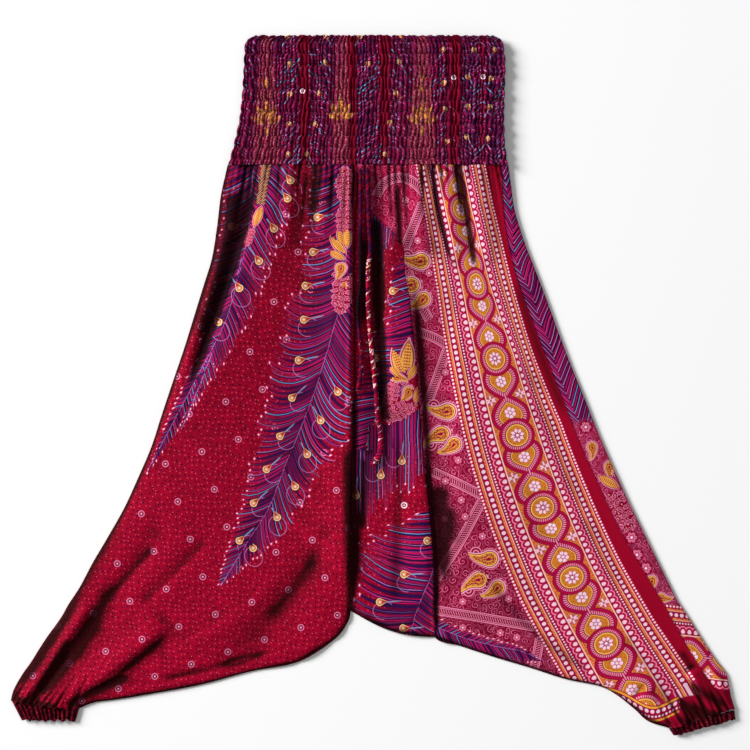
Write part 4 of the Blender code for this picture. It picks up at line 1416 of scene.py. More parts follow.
def wall(name, outside, inside, quads):
    """A closed wall between two layers of points, with its rim. Returns it with its faces and their plan."""
    count = len(outside)
    edges = np.concatenate([quads[:, [i, (i + 1) % 4]] for i in range(4)])
    lone = ~np.isin(edges[:, 0] * count + edges[:, 1], edges[:, 1] * count + edges[:, 0])
    start, end = edges[lone].T
    rim = np.column_stack([end, start, start + count, end + count])
    faces = np.vstack([quads, quads[:, ::-1] + count, rim])
    points = np.vstack([outside, inside])
    made = plain_mesh(name, points, faces)
    made.data.set_sharp_from_angle(angle=math.radians(70))
    return made, faces, points[:, :2]


def shell(name, plan, heights, quads, thickness=CLOTH):
    top = np.column_stack([plan, heights])
    return wall(name, top, top - [0, 0, thickness], quads)


def write_painted_shade(piece, depth):
    """How much shade is painted at each point, from 0 to 1, to darken the print in the creases."""
    write_points(piece, "crease", np.clip(depth, 0, 1))

# %% [markdown]
# Light doesn't reach far into a narrow crease, so shade is painted into the dye there. How deep each place
# lies below the cloth round it is worked out once on a coarse grid, the shades table is added, and the fine
# points look it up.

# %% Painted shade in the creases
FIELD_STEP = 2.5
FIELD_X = np.arange(-510, 511, FIELD_STEP)
FIELD_Y = np.arange(-480, 301, FIELD_STEP)


def blurred(field, cells):
    """A field smoothed by a soft window of so many cells either way."""
    window = np.hanning(2 * cells + 3)[1:-1]
    window /= window.sum()
    for axis in (0, 1):
        ends = [(cells, cells) if k == axis else (0, 0) for k in (0, 1)]
        padded = np.pad(field, ends, mode="edge")
        field = np.apply_along_axis(np.convolve, axis, padded, window, "valid")
    return field


def crease_shade_field():
    """How much shade is painted at each place on a coarse square grid: how far it lies below the cloth round
    it, with the shades table added.
    """
    x, y = np.meshgrid(FIELD_X, FIELD_Y, indexing="ij")
    height = cloth_height(x.ravel(), y.ravel()).reshape(x.shape)
    small = np.maximum(blurred(height, 3) - height, 0) / 0.8
    large = np.maximum(blurred(height, 9) - height, 0) / 2.3
    shade = sum(fold_height(fold, x.ravel(), y.ravel()) for fold in SHADES).reshape(x.shape)
    return small + large + shade


CREASE_SHADE_FIELD = crease_shade_field()


def painted_shade_at(x, y):
    """The painted shade between its grid points."""
    i = np.clip((x - FIELD_X[0]) / FIELD_STEP, 0, len(FIELD_X) - 1.001)
    j = np.clip((y - FIELD_Y[0]) / FIELD_STEP, 0, len(FIELD_Y) - 1.001)
    a, b = i.astype(int), j.astype(int)
    u, v = i - a, j - b
    near = CREASE_SHADE_FIELD[a, b] * (1 - v) + CREASE_SHADE_FIELD[a, b + 1] * v
    far = CREASE_SHADE_FIELD[a + 1, b] * (1 - v) + CREASE_SHADE_FIELD[a + 1, b + 1] * v
    return near * (1 - u) + far * u


# The last number is the strongest painted shade on the grid.
print("cell of the fine cloth, mm:", CELL, "deepest crease:", round(float(CREASE_SHADE_FIELD.max()), 1))

# %% [markdown]
# ## Finishes
# All the cloth is the same crisp cotton, so one function gives it its roughness, its faint sheen, its weave
# and the shade painted into its creases, and each panel brings its own print.

# %% Cotton
WEAVE = 0.62  # millimetres from thread to thread
PAINTED_SHADE_STRENGTH = 0.98
PAINTED_SHADE_TINT = (0.06, 0.014, 0.03)  # what is left of red, green and blue in the deepest crease


def plan_place():
    """x and y on the laid garment, in millimetres."""
    place = node("TexCoord", output="Object")
    x, y, z = split(place)
    return x * 1000.0, y * 1000.0, z * 1000.0


def start_cloth(name):
    made = bpy.data.materials.new(name)
    made.use_nodes = True
    pen["tree"] = made.node_tree
    return made


def finish_cloth(made, slub=0.5):
    """Paints shade over the print in the creases, adds the woven bump and joins all to the surface."""
    # Painted shade: the print turns towards a dark tint as far as the cloth's stored shade reaches.
    crease = level_of("crease")
    dark = node("VectorMath", operation="MULTIPLY")
    for socket, value in zip(dark.socket.node.inputs, (pen["print"], PAINTED_SHADE_TINT)):
        wire_in(socket, value)
    lay(dark, maths("MULTIPLY", crease, PAINTED_SHADE_STRENGTH, clamp=True))
    x, y, z = plan_place()
    threads = maths("SINE", x * (TURN / WEAVE)) * maths("SINE", y * (TURN / WEAVE))
    crumple = noise(point(x, y, z), 0.11, 3.0, roughness=0.55)
    height = scaled(threads, 0.03, crumple * slub)
    bump = node("Bump", height=height, strength=0.6, distance=0.0011)
    shader = pen["tree"].nodes["Principled BSDF"]
    for name, value in (
        ("Base Color", pen["print"]), ("Normal", bump), ("Roughness", 0.72), ("Specular IOR Level", 0.05),
        ("Sheen Weight", 0.01), ("Sheen Roughness", 0.5), ("Sheen Tint", (1.0, 0.78, 0.86, 1.0)),
    ):
        wire_in(shader.inputs[name], value)
    print(made.name, "nodes:", len(pen["tree"].nodes))
    return made

# %% [markdown]
# ### The right leg's cloth
# Dotted ground first, then the plumes, then the motifs that stand on them.

# %% Right leg finish
plume_cloth = start_cloth("dotted_plume_cotton")
across_x, along_y, _ = plan_place()
pen["print"] = dotted_ground(across_x, along_y)
barbs(*attribute("plume"))
motifs((EYE, HANGING_EYE, FAN, LEAF, PAISLEY, ROSETTE, STEM, RING))
finish_cloth(plume_cloth)

# %% [markdown]
# ### The left front's cloth
# The inner part has scrolls, ribbons and paisleys. The border covers everything outside its inner dotted
# line, and stops at a crosswise row of beads above the plain crimson end.

# %% Left front finish
BOW_MIDDLE, BOW_HALF, BOW_DEPTH = 372.0, 34.0, 22.0  # a bend in the crosswise beads, where the hem dips
HEM_SLOPE = 0.057
HEM_LEVEL = 397.0
PLAIN_FROM = 408.0  # beyond this the hem's end is plain

border_cloth = start_cloth("beaded_border_cotton")
across_x, along_y, _ = plan_place()
pen["print"] = scrolled_ground(across_x, along_y)
ribbons()
barbs(*attribute("plume"))
motifs((PAISLEY, ROSETTE))
run, off, _ = attribute("border")
lay(beaded_border(run, off), above(off, -BORDER_EDGE, 0.5))
lay(dye(146, 0, 34), above(off, BORDER_EDGE, 0.8))
from_bow = (across_x - BOW_MIDDLE) / BOW_HALF
bow = maths("EXPONENT", maths("MULTIPLY", from_bow, from_bow) * -1.0) * BOW_DEPTH
end = scaled(across_x, HEM_SLOPE, along_y) + bow + HEM_LEVEL
crosswise = below(across_x, PLAIN_FROM, 3.0)
lay(dye(170, 0, 48), below(end, 12.0, 0.5) * crosswise)
lay(GOLD, (stripe(end, 7.6, 10.4, 0.4) + stripe(end, -10.4, -7.6, 0.4)) * crosswise)
for level, pitch, size, backing in ((3.4, 7.6, 2.6, 4.0), (-3.6, 4.6, 1.5, 2.4)):
    pen["print"] = bead_row(pen["print"], across_x, end, level, pitch, size, backing)
plain = below(end, -11.4, 0.5) + above(across_x, PLAIN_FROM, 3.0) * below(end, 8.0, 2.0)
lay(dye(150, 0, 40), plain)
finish_cloth(border_cloth)

# %% [markdown]
# ### The wrapped strip's cloth
# The left leg's back panel comes round the side. Its print meets in long chevrons and ends in a floral
# stretch and the start of a crosswise border.

# %% Wrapped strip finish
FLOWERS_LOW, FLOWERS_HIGH = -302.0, -52.0
STRIP_END = -297.0

wrap_cloth = start_cloth("chevron_plume_cotton")
across_x, along_y, _ = plan_place()
pen["print"] = dotted_ground(across_x, along_y)
barbs(*attribute("plume"), ragged=0.0, pale=1.6, hair_half=0.07)
flowers = stripe(along_y, FLOWERS_LOW, FLOWERS_HIGH, 14.0)
kind = level_of("wrapped_over")
blossom = paint(scrolled_ground(across_x, along_y), dye(226, 90, 150), 0.10)
lay(blossom, flowers * kind)
motifs((PAISLEY, LEAF, ROSETTE, FAN, EYE, STEM))
end = STRIP_END - scaled(across_x, 0.12, along_y - 50.0)
rows = beaded_border(across_x + 8.0, end - BORDER_EDGE)
rows = paint(rows, dye(120, 0, 30), above(end, 105.0, 0.6))
lay(rows, above(end, 0.0, 0.5) * kind)
finish_cloth(wrap_cloth)

# %% [markdown]
# ### The smocked band's cloth
# The same plume cloth, gathered to half its width, so the barbs turn into short steep dashes that break at
# every pleat.

# %% Band finish
BAND_BOTTOM = 291.6
BAND_TOP = 464.0
PLEAT = 5.4  # millimetres from pleat to pleat
LACE, PLAIN = 1, 2

band_cloth = start_cloth("smocked_plume_cotton")
across_x, along_y, _ = plan_place()
grain = noise(point(across_x, along_y * 0.4), 0.12, 3.0)
pen["print"] = paint(dye(84, 0, 32), dye(146, 0, 52), grain)
number, from_stem, share = attribute("plume")
jitter = noise(point(across_x, along_y), 0.15, 2.0)
number = scaled(jitter, 1.3, number)
barbs(number, from_stem, share, ragged=0.0, pale=1.1, hair_half=0.09)
breaks = noise(point(across_x, along_y * 0.7), 0.30, 3.0)
lay(dye(46, 2, 30), above(breaks, 0.54, 0.06) * 0.8)
off, level, kind = attribute("column")
fine = noise(point(across_x, along_y), 0.55, 2.0)
lace = paint(dye(110, 2, 44), dye(228, 120, 150), above(fine, 0.53, 0.05))
lace = paint(lace, dye(226, 168, 70), above(fine, 0.60, 0.04) * stripe(level, 330.0, 410.0, 30.0))
is_lace = below(abs(kind - float(LACE)), 0.5, 0.1)
lay(lace, below(abs(off), 1.0, 0.25) * is_lace)
is_plain = below(abs(kind - float(PLAIN)), 0.5, 0.1)
lay(dye(116, 0, 30), below(abs(off), 1.0, 0.30) * is_plain)
motifs((EYE, LEAF, RING))
lay(dye(124, 12, 50), above(breaks, 0.50, 0.05) * is_lace * 0.75)
lay(dye(78, 0, 38), above(fine, 0.56, 0.05) * 0.65)
finish_cloth(band_cloth, slub=0.3)

# %% [markdown]
# ### Cuffs and ties
# The cuffs are deep maroon, mottled near black as their own dye darkened further by painted shade of their
# hollow ends, with what is left of the border's beads. The ties are crimson cloth twisted tight, so white and
# gold flecks of the print wind round them.

# %% Cuff and tie finishes
cuff_cloth = start_cloth("gathered_maroon_cotton")
across_x, along_y, height_z = plan_place()
speckle = noise(point(across_x, along_y, height_z), 0.25, 3.0)
# Near black and maroon: the cuff's own dye, darkened as painted shade of its hollow end.
pen["print"] = paint(dye(44, 0, 14), dye(118, 0, 32), above(speckle, 0.5, 0.12))
lay(dye(150, 60, 40), above(speckle, 0.66, 0.05) * 0.5)
finish_cloth(cuff_cloth, slub=0.6)

tie_cloth = start_cloth("twisted_tie_cotton")
along, around, _ = split(node("UVMap", uv_map="along_and_round"))
turned = scaled(along, 1000.0 / TWIST_PITCH, around) * STRANDS
strand = maths("FLOOR", turned + 0.5)
fleck = noise(point(along * 150.0, turned * 0.9), 1.0, 2.0, distortion=0.8)
# Where shade is painted on a tie, its pale flecks give way to dark ones.
painted_tie_shade = level_of("crease")
fleck = fleck - painted_tie_shade * 0.4 - above(along, 0.31, 0.02) * 0.05
pen["print"] = paint(dye(130, 0, 36), dye(186, 4, 50), chance(strand))
lay(dye(96, 0, 36), below(abs(wrapped(turned + 0.5, 1.0)), 0.14, 0.12))
lay(BLUSH, above(fleck, 0.58, 0.03) * 0.9)
lay(GOLD, above(fleck, 0.64, 0.02))
lay(dye(50, 8, 60), below(fleck, 0.39, 0.03) * 0.9)
finish_cloth(tie_cloth, slub=0.2)
for piece in ties.values():
    piece.data.materials.append(tie_cloth)

# %% [markdown]
# ## The right leg
# The front panel has two stretches that meet in the deep fold beside the centre front, so they share the
# points of that fold. The back panel lies flat under it.

# %% Right leg, front
def declare(piece, node_name):
    """Attaches the piece to the garment, hides the solid that it stands in for and prints its faces and its
    two-sided area, in square metres.
    """
    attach(piece, "root")
    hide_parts(node_name)
    print(piece.name, "faces:", len(piece.data.polygons), "two-sided area, m2:",
          round(sum(face.area for face in piece.data.polygons), 4))


def right_leg_grid(seam, leg_columns, centre_columns, step):
    """Plan points and quads of a right leg panel, and how many of the quads lie outside the deep fold."""
    upper = fine_rows(RIGHT_LEG, 0, SEAM_ROWS - 1, step)
    lower = fine_rows(RIGHT_LEG, SEAM_ROWS - 1, len(RIGHT_LEG) - 1, step)[1:]
    leg = spline(RIGHT_LEG, np.concatenate([upper, lower]))
    points = rows_between(leg[:, :2], leg[:, 2:], leg_columns)
    fold = points[: len(upper), -1]
    stop = pulled_back(fold, spline(seam, upper), GAP)
    centre = rows_between(fold, stop, centre_columns)
    sag = CROTCH_SAG * np.clip(upper - (SEAM_ROWS - 2), 0, 1)[:, None]
    centre[..., 1] -= sag * np.sin(np.linspace(0, math.pi, centre_columns))
    first = len(leg) * leg_columns

    def centre_index(row, column):
        own = first + row * (centre_columns - 1) + column - 1
        return np.where(column == 0, row * leg_columns + leg_columns - 1, own)

    leg_quads = grid(len(leg), leg_columns)
    quads = np.vstack([leg_quads, grid(len(upper), centre_columns, centre_index)])
    plan = np.vstack([points.reshape(-1, 2), centre[:, 1:].reshape(-1, 2)])
    return plan, quads, len(leg_quads)


def write_leg_print(piece, faces, plan, in_leg):
    """Marks of the plumes and motifs, each stretch from its own zone."""
    for name, marks in (("plume", plume_marks), ("motif", motif_marks)):
        here, there = marks(plan, faces, "leg"), marks(plan, faces, "centre")
        write_marks(piece, name, np.where(in_leg[:, None, None], here, there))


plan, quads, leg_count = right_leg_grid(FRONT_SEAM, LEG_COLUMNS, CENTRE_COLUMNS, CELL)
plan = hung_over(plan)
right_front, faces, place = shell(
    "right_leg_front_cloth", plan, cloth_height(plan[:, 0], plan[:, 1]), quads
)
right_front.data.materials.append(plume_cloth)
DEEP_FOLD_X = -26.4
inner_side = place[:, 0] < DEEP_FOLD_X
write_leg_print(right_front, faces, place, inner_side[faces].all(axis=1))
# Painted shade for the front panel's creases.
write_painted_shade(right_front, painted_shade_at(place[:, 0], place[:, 1]))
declare(right_front, "leg_right_front")

# %% Right leg, back
def centre_back_seam():
    top, bottom = FRONT_SEAM[0], FRONT_SEAM[-1]
    down = (top[1] - FRONT_SEAM[:, 1]) / (top[1] - bottom[1])
    return np.column_stack([bottom[0] * down**1.5, FRONT_SEAM[:, 1]])


BACK_CLOTH = 0.8
BACK_CELL = 7.0
BACK_COLUMNS = (56, 20)
plan, quads, _ = right_leg_grid(centre_back_seam(), *BACK_COLUMNS, BACK_CELL)
level = np.full(len(plan), BACK_CLOTH)
right_back, faces, place = shell("right_leg_back_cloth", plan, level, quads, BACK_CLOTH)
right_back.data.materials.append(plume_cloth)
write_leg_print(right_back, faces, place, np.ones(len(faces), bool))
declare(right_back, "leg_right_back")

# %% [markdown]
# ## The left leg
# Its front panel ends in the border's plain selvedge. The back panel is wider: it lies flat underneath, turns
# up round the side and comes back over the front as a narrow strip, a little way under the selvedge.

# %% Left leg, front
SELVEDGE_LIFT = 0.6
SELVEDGE_REACH = 11.0
rows = fine_rows(LEFT_LEG, 0, len(LEFT_LEG) - 1)
left = spline(LEFT_LEG, rows)
inner, selvedge = left[:, 4:], pulled_back(left[:, 4:], left[:, :2], GAP)
points = rows_between(selvedge, pulled_back(selvedge, inner, GAP), BORDER_COLUMNS)[:, ::-1]
plan = hung_over(points.reshape(-1, 2))
from_selvedge = np.linalg.norm(points - selvedge[:, None, :], axis=2).ravel()
quads = grid(len(rows), BORDER_COLUMNS)
heights = cloth_height(plan[:, 0], plan[:, 1]) + SELVEDGE_LIFT * smooth(SELVEDGE_REACH, 0.0, from_selvedge)
left_front, faces, place = shell("left_leg_front_cloth", plan, heights, quads)
left_front.data.materials.append(border_cloth)
write_marks(left_front, "plume", plume_marks(place, faces, "border"))
write_marks(left_front, "motif", motif_marks(place, faces, "border"))
write_marks(left_front, "ribbon", ribbon_marks(place, faces))
write_marks(left_front, "border", border_marks(place, faces))
# Painted shade for the left front's creases.
write_painted_shade(left_front, painted_shade_at(place[:, 0], place[:, 1]))
declare(left_front, "leg_left_front")

# %% Left leg, back
TUCK = 7.0  # how far the strip goes on under the selvedge
TUCK_DROP = 1.2
UNDER_COLUMNS = 14
TURN_COLUMNS = 9
STRIP_COLUMNS = 15


def turned_back_section(inner, selvedge, outline):
    """One section: flat under the leg, round its outer edge, and back under the selvedge."""
    out = (outline - selvedge) / np.linalg.norm(outline - selvedge)
    reach = np.linalg.norm(outline - selvedge)
    turn_radius = min(WRAP_RADIUS, 0.45 * reach)
    pivot = outline - turn_radius * out
    flat = inner + (pivot - inner) * np.linspace(0, 1, UNDER_COLUMNS)[:, None]
    tip = selvedge - out * TUCK
    strip = pivot + (tip - pivot) * np.linspace(0, 1, STRIP_COLUMNS)[:, None]
    dip = TUCK_DROP * smooth(5.0, -5.0, (strip - selvedge) @ out)
    strip_z = cloth_height(strip[:, 0], strip[:, 1]) - dip
    middle = strip_z[0] / 2
    turn = np.linspace(-math.pi / 2, math.pi / 2, TURN_COLUMNS + 2)[1:-1]
    sides = []
    for depth in (0.0, CLOTH):
        round_plan = pivot + out * ((turn_radius - depth) * np.cos(turn))[:, None]
        round_z = middle + (middle - depth) * np.sin(turn)
        sides.append(np.vstack([
            np.column_stack([flat, np.full(UNDER_COLUMNS, depth)]),
            np.column_stack([round_plan, round_z]),
            np.column_stack([strip, strip_z - depth]),
        ]))
    return sides


seam = spline(centre_back_seam(), np.minimum(rows, SEAM_ROWS - 1)) + [GAP, 0]
inner = np.where((rows <= SEAM_ROWS - 1)[:, None], seam, left[:, 4:])
sections = [turned_back_section(*row) for row in zip(inner, left[:, :2], left[:, 2:4])]
outside = np.vstack([section[0] for section in sections])
inside = np.vstack([section[1] for section in sections])
columns = UNDER_COLUMNS + TURN_COLUMNS + STRIP_COLUMNS
quads = grid(len(rows), columns)[:, ::-1]
left_back, faces, place = wall("left_leg_back_cloth", outside, inside, quads)
left_back.data.materials.append(wrap_cloth)
column = np.tile(np.arange(columns), 2 * len(rows))
wrapped_over = column >= UNDER_COLUMNS + TURN_COLUMNS // 2
CHEVRON = [
    (172, 291), (179, 258), (185, 229), (189, 174), (199, 145), (205, 134), (214, 114), (222, 86), (234, 58),
    (245, 23), (252, 2), (261, -19), (277, -55), (301, -102), (322, -142),
]
CHEVRON_PITCH = 9.6


def chevron_marks(plan, faces):
    along, across, _ = path_place(dense_path(CHEVRON), plan[:, 0], plan[:, 1])
    sweep = np.where(across > 0, 1.25, 2.1)
    barb = (along + sweep * np.abs(across)) / CHEVRON_PITCH
    return np.stack([barb, across, np.full(len(plan), 0.3)], axis=-1)[faces]


is_over = wrapped_over[faces].all(axis=1)
mirrored = place * [-1, 1]
for name, over_marks, under_marks in (
    ("plume", chevron_marks(place, faces), plume_marks(mirrored, faces, "leg")),
    ("motif", motif_marks(place, faces, "wrap"), motif_marks(mirrored, faces, "leg")),
):
    write_marks(left_back, name, np.where(is_over[:, None, None], over_marks, under_marks))
write_points(left_back, "wrapped_over", wrapped_over)
declare(left_back, "leg_left_back")

# %% [markdown]
# ## The smocked band
# Rows of elastic thread pull the cloth into narrow pleats. Between two rows the pleats swell, and at each row
# they are pinched, so the surface looks like small pillows side by side. The side edges wave in and out with
# the rows, and the top edge stands up as a small ruffle.

# %% Band, front and back
BAND_OUTLINE = np.array([
    (464, -164, 169), (452, -170, 174), (430, -171, 177), (391, -173, 176), (352, -177, 175),
    (320, -184, 176), (291.6, -192, 180),
], float)
SHIRR_PITCH = 15.6
SHIRR_FIRST = 299.0
PLEAT_DEPTH = 4.4
BAND_BASE = 6.0
BAND_CROWN = 2.0
BAND_ROWS = 92
PLEAT_CELLS = 7


def band_edges(y):
    left = np.interp(y, BAND_OUTLINE[::-1, 0], BAND_OUTLINE[::-1, 1])
    right = np.interp(y, BAND_OUTLINE[::-1, 0], BAND_OUTLINE[::-1, 2])
    wave = 1.6 * np.abs(np.sin(math.pi * (y - SHIRR_FIRST) / SHIRR_PITCH)) ** 0.8
    corner = 9.0 * smooth(BAND_TOP - 9, BAND_TOP, y) ** 2
    return left - wave + corner + 1.2, right + wave - corner - 1.2


def pleat_lines(seed, pitch):
    """Uneven shares of the band's width at which the pleats begin."""
    draw = np.random.default_rng(seed)
    steps = draw.uniform(0.7, 1.35, round(358 / pitch))
    places = np.concatenate([[0], np.cumsum(steps)])
    return places / places[-1]


def wander(share, y):
    """Pleats aren't quite upright: they shift a little to each side on their way up."""
    row = (y - SHIRR_FIRST) / SHIRR_PITCH
    below_row = np.floor(row)
    turn_over = smooth(0.8, 1.0, row - below_row)
    jog = [
        0.0035 * np.sin(19 * share + 2.4 * k) + 0.003 * np.sin(47 * share - 3.1 * k)
        for k in (below_row, below_row + 1)
    ]
    share = share + jog[0] * (1 - turn_over) + jog[1] * turn_over
    bend = np.sin(y / 8.3 + 40 * share) + np.sin(y / 5.1 - 260 * share) + 0.9 * np.sin(y / 17 + 23 * share)
    return np.clip(share + 0.0013 * bend, 0, 1)


def band_surface(share, y, lines, seed):
    """Height of the smocked cloth above its base, for a share of the width and a height on the band."""
    share = wander(share, y)
    pleat = np.clip(np.searchsorted(lines, share, side="right") - 1, 0, len(lines) - 2)
    inside = (share - lines[pleat]) / (lines[pleat + 1] - lines[pleat])
    draw = np.random.default_rng(seed)
    tall = draw.uniform(0.4, 1.1, len(lines))[pleat]
    lean = draw.uniform(-0.35, 0.35, (len(lines), 14))
    row = (y - SHIRR_FIRST) / SHIRR_PITCH
    shift = lean[pleat, np.clip(row.astype(int), 0, 13)] * np.sin(math.pi * row) ** 2
    ridge = np.sin(math.pi * np.clip(inside + shift * inside * (1 - inside), 0, 1)) ** 0.75
    pinch = np.abs(np.sin(math.pi * row)) ** 0.6
    loose = smooth(BAND_TOP - 12, BAND_TOP - 3, y)
    swell = (0.50 + 0.50 * np.maximum(pinch, loose)) * tall
    return PLEAT_DEPTH * ridge * swell + 0.8 * pinch


print("rows of elastic:", int((BAND_TOP - SHIRR_FIRST) / SHIRR_PITCH) + 1)

# %% Halves of the band
def build_band(name, base, crown, lines, seed, depth_share, rows_count):
    y = np.linspace(BAND_TOP, BAND_BOTTOM, rows_count)
    cells = PLEAT_CELLS
    share = np.concatenate([
        np.linspace(a, b, cells, endpoint=False) for a, b in zip(lines[:-1], lines[1:])
    ] + [[1.0]])
    left, right = band_edges(y)
    across, height = np.meshgrid(share, y)
    x = left[:, None] * (1 - across) + right[:, None] * across
    ruffle = 1.3 * np.sin(across * TURN * 8 + 2 * np.sin(across * 31)) + 0.6 * np.sin(across * 190)
    ruffle = ruffle * smooth(BAND_TOP - 9, BAND_TOP, height)
    surface = band_surface(across.ravel(), height.ravel(), lines, seed).reshape(across.shape)
    z = base + crown * np.sin(math.pi * across) ** 0.5 + depth_share * surface
    plan = np.column_stack([x.ravel(), (height - np.abs(ruffle)).ravel()])
    quads = grid(len(y), len(share))
    made, faces, place = shell(name, plan, z.ravel(), quads)
    return made, faces, place, surface.ravel(), across.ravel()


FRONT_SEEDS = (3, 4)  # of the pleats' widths and of their heights
BACK_SEEDS = (6, 7)
lines = pleat_lines(FRONT_SEEDS[0], PLEAT)
band_front, faces, place, surface, across = build_band(
    "waistband_front_cloth", BAND_BASE, BAND_CROWN, lines, FRONT_SEEDS[1], depth_share=1.0,
    rows_count=BAND_ROWS,
)
band_front.data.materials.append(band_cloth)
print("pleats across the front of the band:", len(lines) - 1)

# %% [markdown]
# Barbs on a smocked band break at each pleat: only a short stretch of each shows, at a slope of its own.
# Every point stores which stem it belongs to and how far from it it lies, with the middle of its own pleat as
# the place that counts.

# %% Print of the band
BAND_STEMS = [-141, -39, -24, 66, 133, 161]
BAND_GAPS = [-198, -91, -31, 16, 110, 147, 192]
BAND_BARB = 6.2
BAND_SLOPE = 1.35
PLEAT_SLOPE = 0.9  # slope of a barb on one pleat's face, where the cloth lies open
# Lace columns and the plain strip: place across the band, kind, and half width at three heights.
Column = namedtuple("Column", "x kind top middle bottom")
COLUMNS = [
    Column(-141, LACE, 6, 15, 20), Column(-39, LACE, 6, 13, 15), Column(66, LACE, 7, 15, 21),
    Column(-27.5, PLAIN, 7, 7, 6), Column(16, PLAIN, 7, 5, 3), Column(-91, PLAIN, 6, 5, 3),
    Column(111, PLAIN, 6, 6, 2),
]
COLUMN_LEVELS = (292, 352, 464)


def band_marks(plan, faces, pleat_of, middle_of):
    """Barbs rise outwards from each stem. Each pleat shows its own short stretch of them."""
    x, y = plan[:, 0], plan[:, 1]
    stems, gaps = np.array(BAND_STEMS, float), np.array(BAND_GAPS, float)
    nearest = stems[np.abs(middle_of[:, None] - stems[None, :]).argmin(axis=1)]
    off = middle_of - nearest
    side = np.where(off > 0, 1.0, -1.0)
    gap = np.array([
        np.min(np.where(np.sign(gaps - stem) == way, np.abs(gaps - stem), 1e9))
        for stem, way in zip(nearest, side)
    ])
    draw = np.random.default_rng(9)
    shift = draw.uniform(-1.2, 1.2, 400)[pleat_of]
    place = (y - BAND_SLOPE * np.abs(off) - PLEAT_SLOPE * side * (x - middle_of)) / BAND_BARB + shift
    share = np.clip(np.abs(x - nearest) / gap, 0.0, 1.3) * 0.96
    return np.stack([place, x - nearest, share], axis=-1)[faces]


def column_marks(plan, faces):
    """(offset in half widths, height, kind) of the nearest lace column or plain strip."""
    marks = np.zeros((len(faces), 4, 3))
    marks[..., 0] = 9.0
    nearest = np.full(len(faces), 2.0)
    for column in COLUMNS:
        half = np.interp(plan[:, 1], COLUMN_LEVELS, (column.bottom, column.middle, column.top))
        off = (plan[:, 0] - column.x) / half
        values = np.stack([off, plan[:, 1], np.full(len(plan), float(column.kind))], axis=-1)[faces]
        claim(marks, nearest, np.abs(off)[faces].mean(axis=1), values)
    return marks


def print_band(piece, faces, place, lines, across):
    across = wander(np.concatenate([across, across]), place[:, 1])
    pleat_of = np.clip(np.searchsorted(lines, across, side="right") - 1, 0, len(lines) - 2)
    middle = (lines[pleat_of] + lines[pleat_of + 1]) / 2
    left, right = band_edges(place[:, 1])
    write_marks(piece, "plume", band_marks(place, faces, pleat_of, left + (right - left) * middle))
    write_marks(piece, "column", column_marks(place, faces))
    write_marks(piece, "motif", motif_marks(place, faces, "band"))


print_band(band_front, faces, place, lines, across)
VALLEY_PAINTED_SHADE = 1.08  # over 1, so the pinched lines are dark throughout
VALLEY_RISE = 2.4  # millimetres over which the shade thins out
# Painted shade along the band's pinched lines and in the valleys between its pleats.
valley = np.concatenate([surface, surface])
write_painted_shade(band_front, VALLEY_PAINTED_SHADE - valley / VALLEY_RISE)
declare(band_front, "waistband_front")

lines = pleat_lines(BACK_SEEDS[0], 2 * PLEAT)
band_back, faces, place, surface, across = build_band(
    "waistband_back_cloth", 1.0, 0.0, lines, BACK_SEEDS[1], depth_share=0.62, rows_count=BAND_ROWS // 2
)
band_back.data.materials.append(band_cloth)
print_band(band_back, faces, place, lines, across)
declare(band_back, "waistband_back")

# %% [markdown]
# ## Cuffs
# Each cuff is a short tube of gathered cloth that lies flat. Its gathers are jagged at the open end.

# %% Cuffs
Cuff = namedtuple("Cuff", "node top_left top_right end_left end_right cut seed")
CUFFS = [
    Cuff("cuff_right", (-481, -422.8), (-391, -433.8), (-468, -448), (-396, -449), 0.021, 21),
    Cuff("cuff_left", (394.5, -460), (482, -435), (401, -470), (483.5, -447), 0.013, 22),
]
CUFF_HEIGHT = 7.0
CUFF_SIDES = 168
CUFF_ROWS = 11
CUFF_GATHERS = 27
CUFF_TUCK = 1.6  # how far the cuff dips where the leg hangs over it


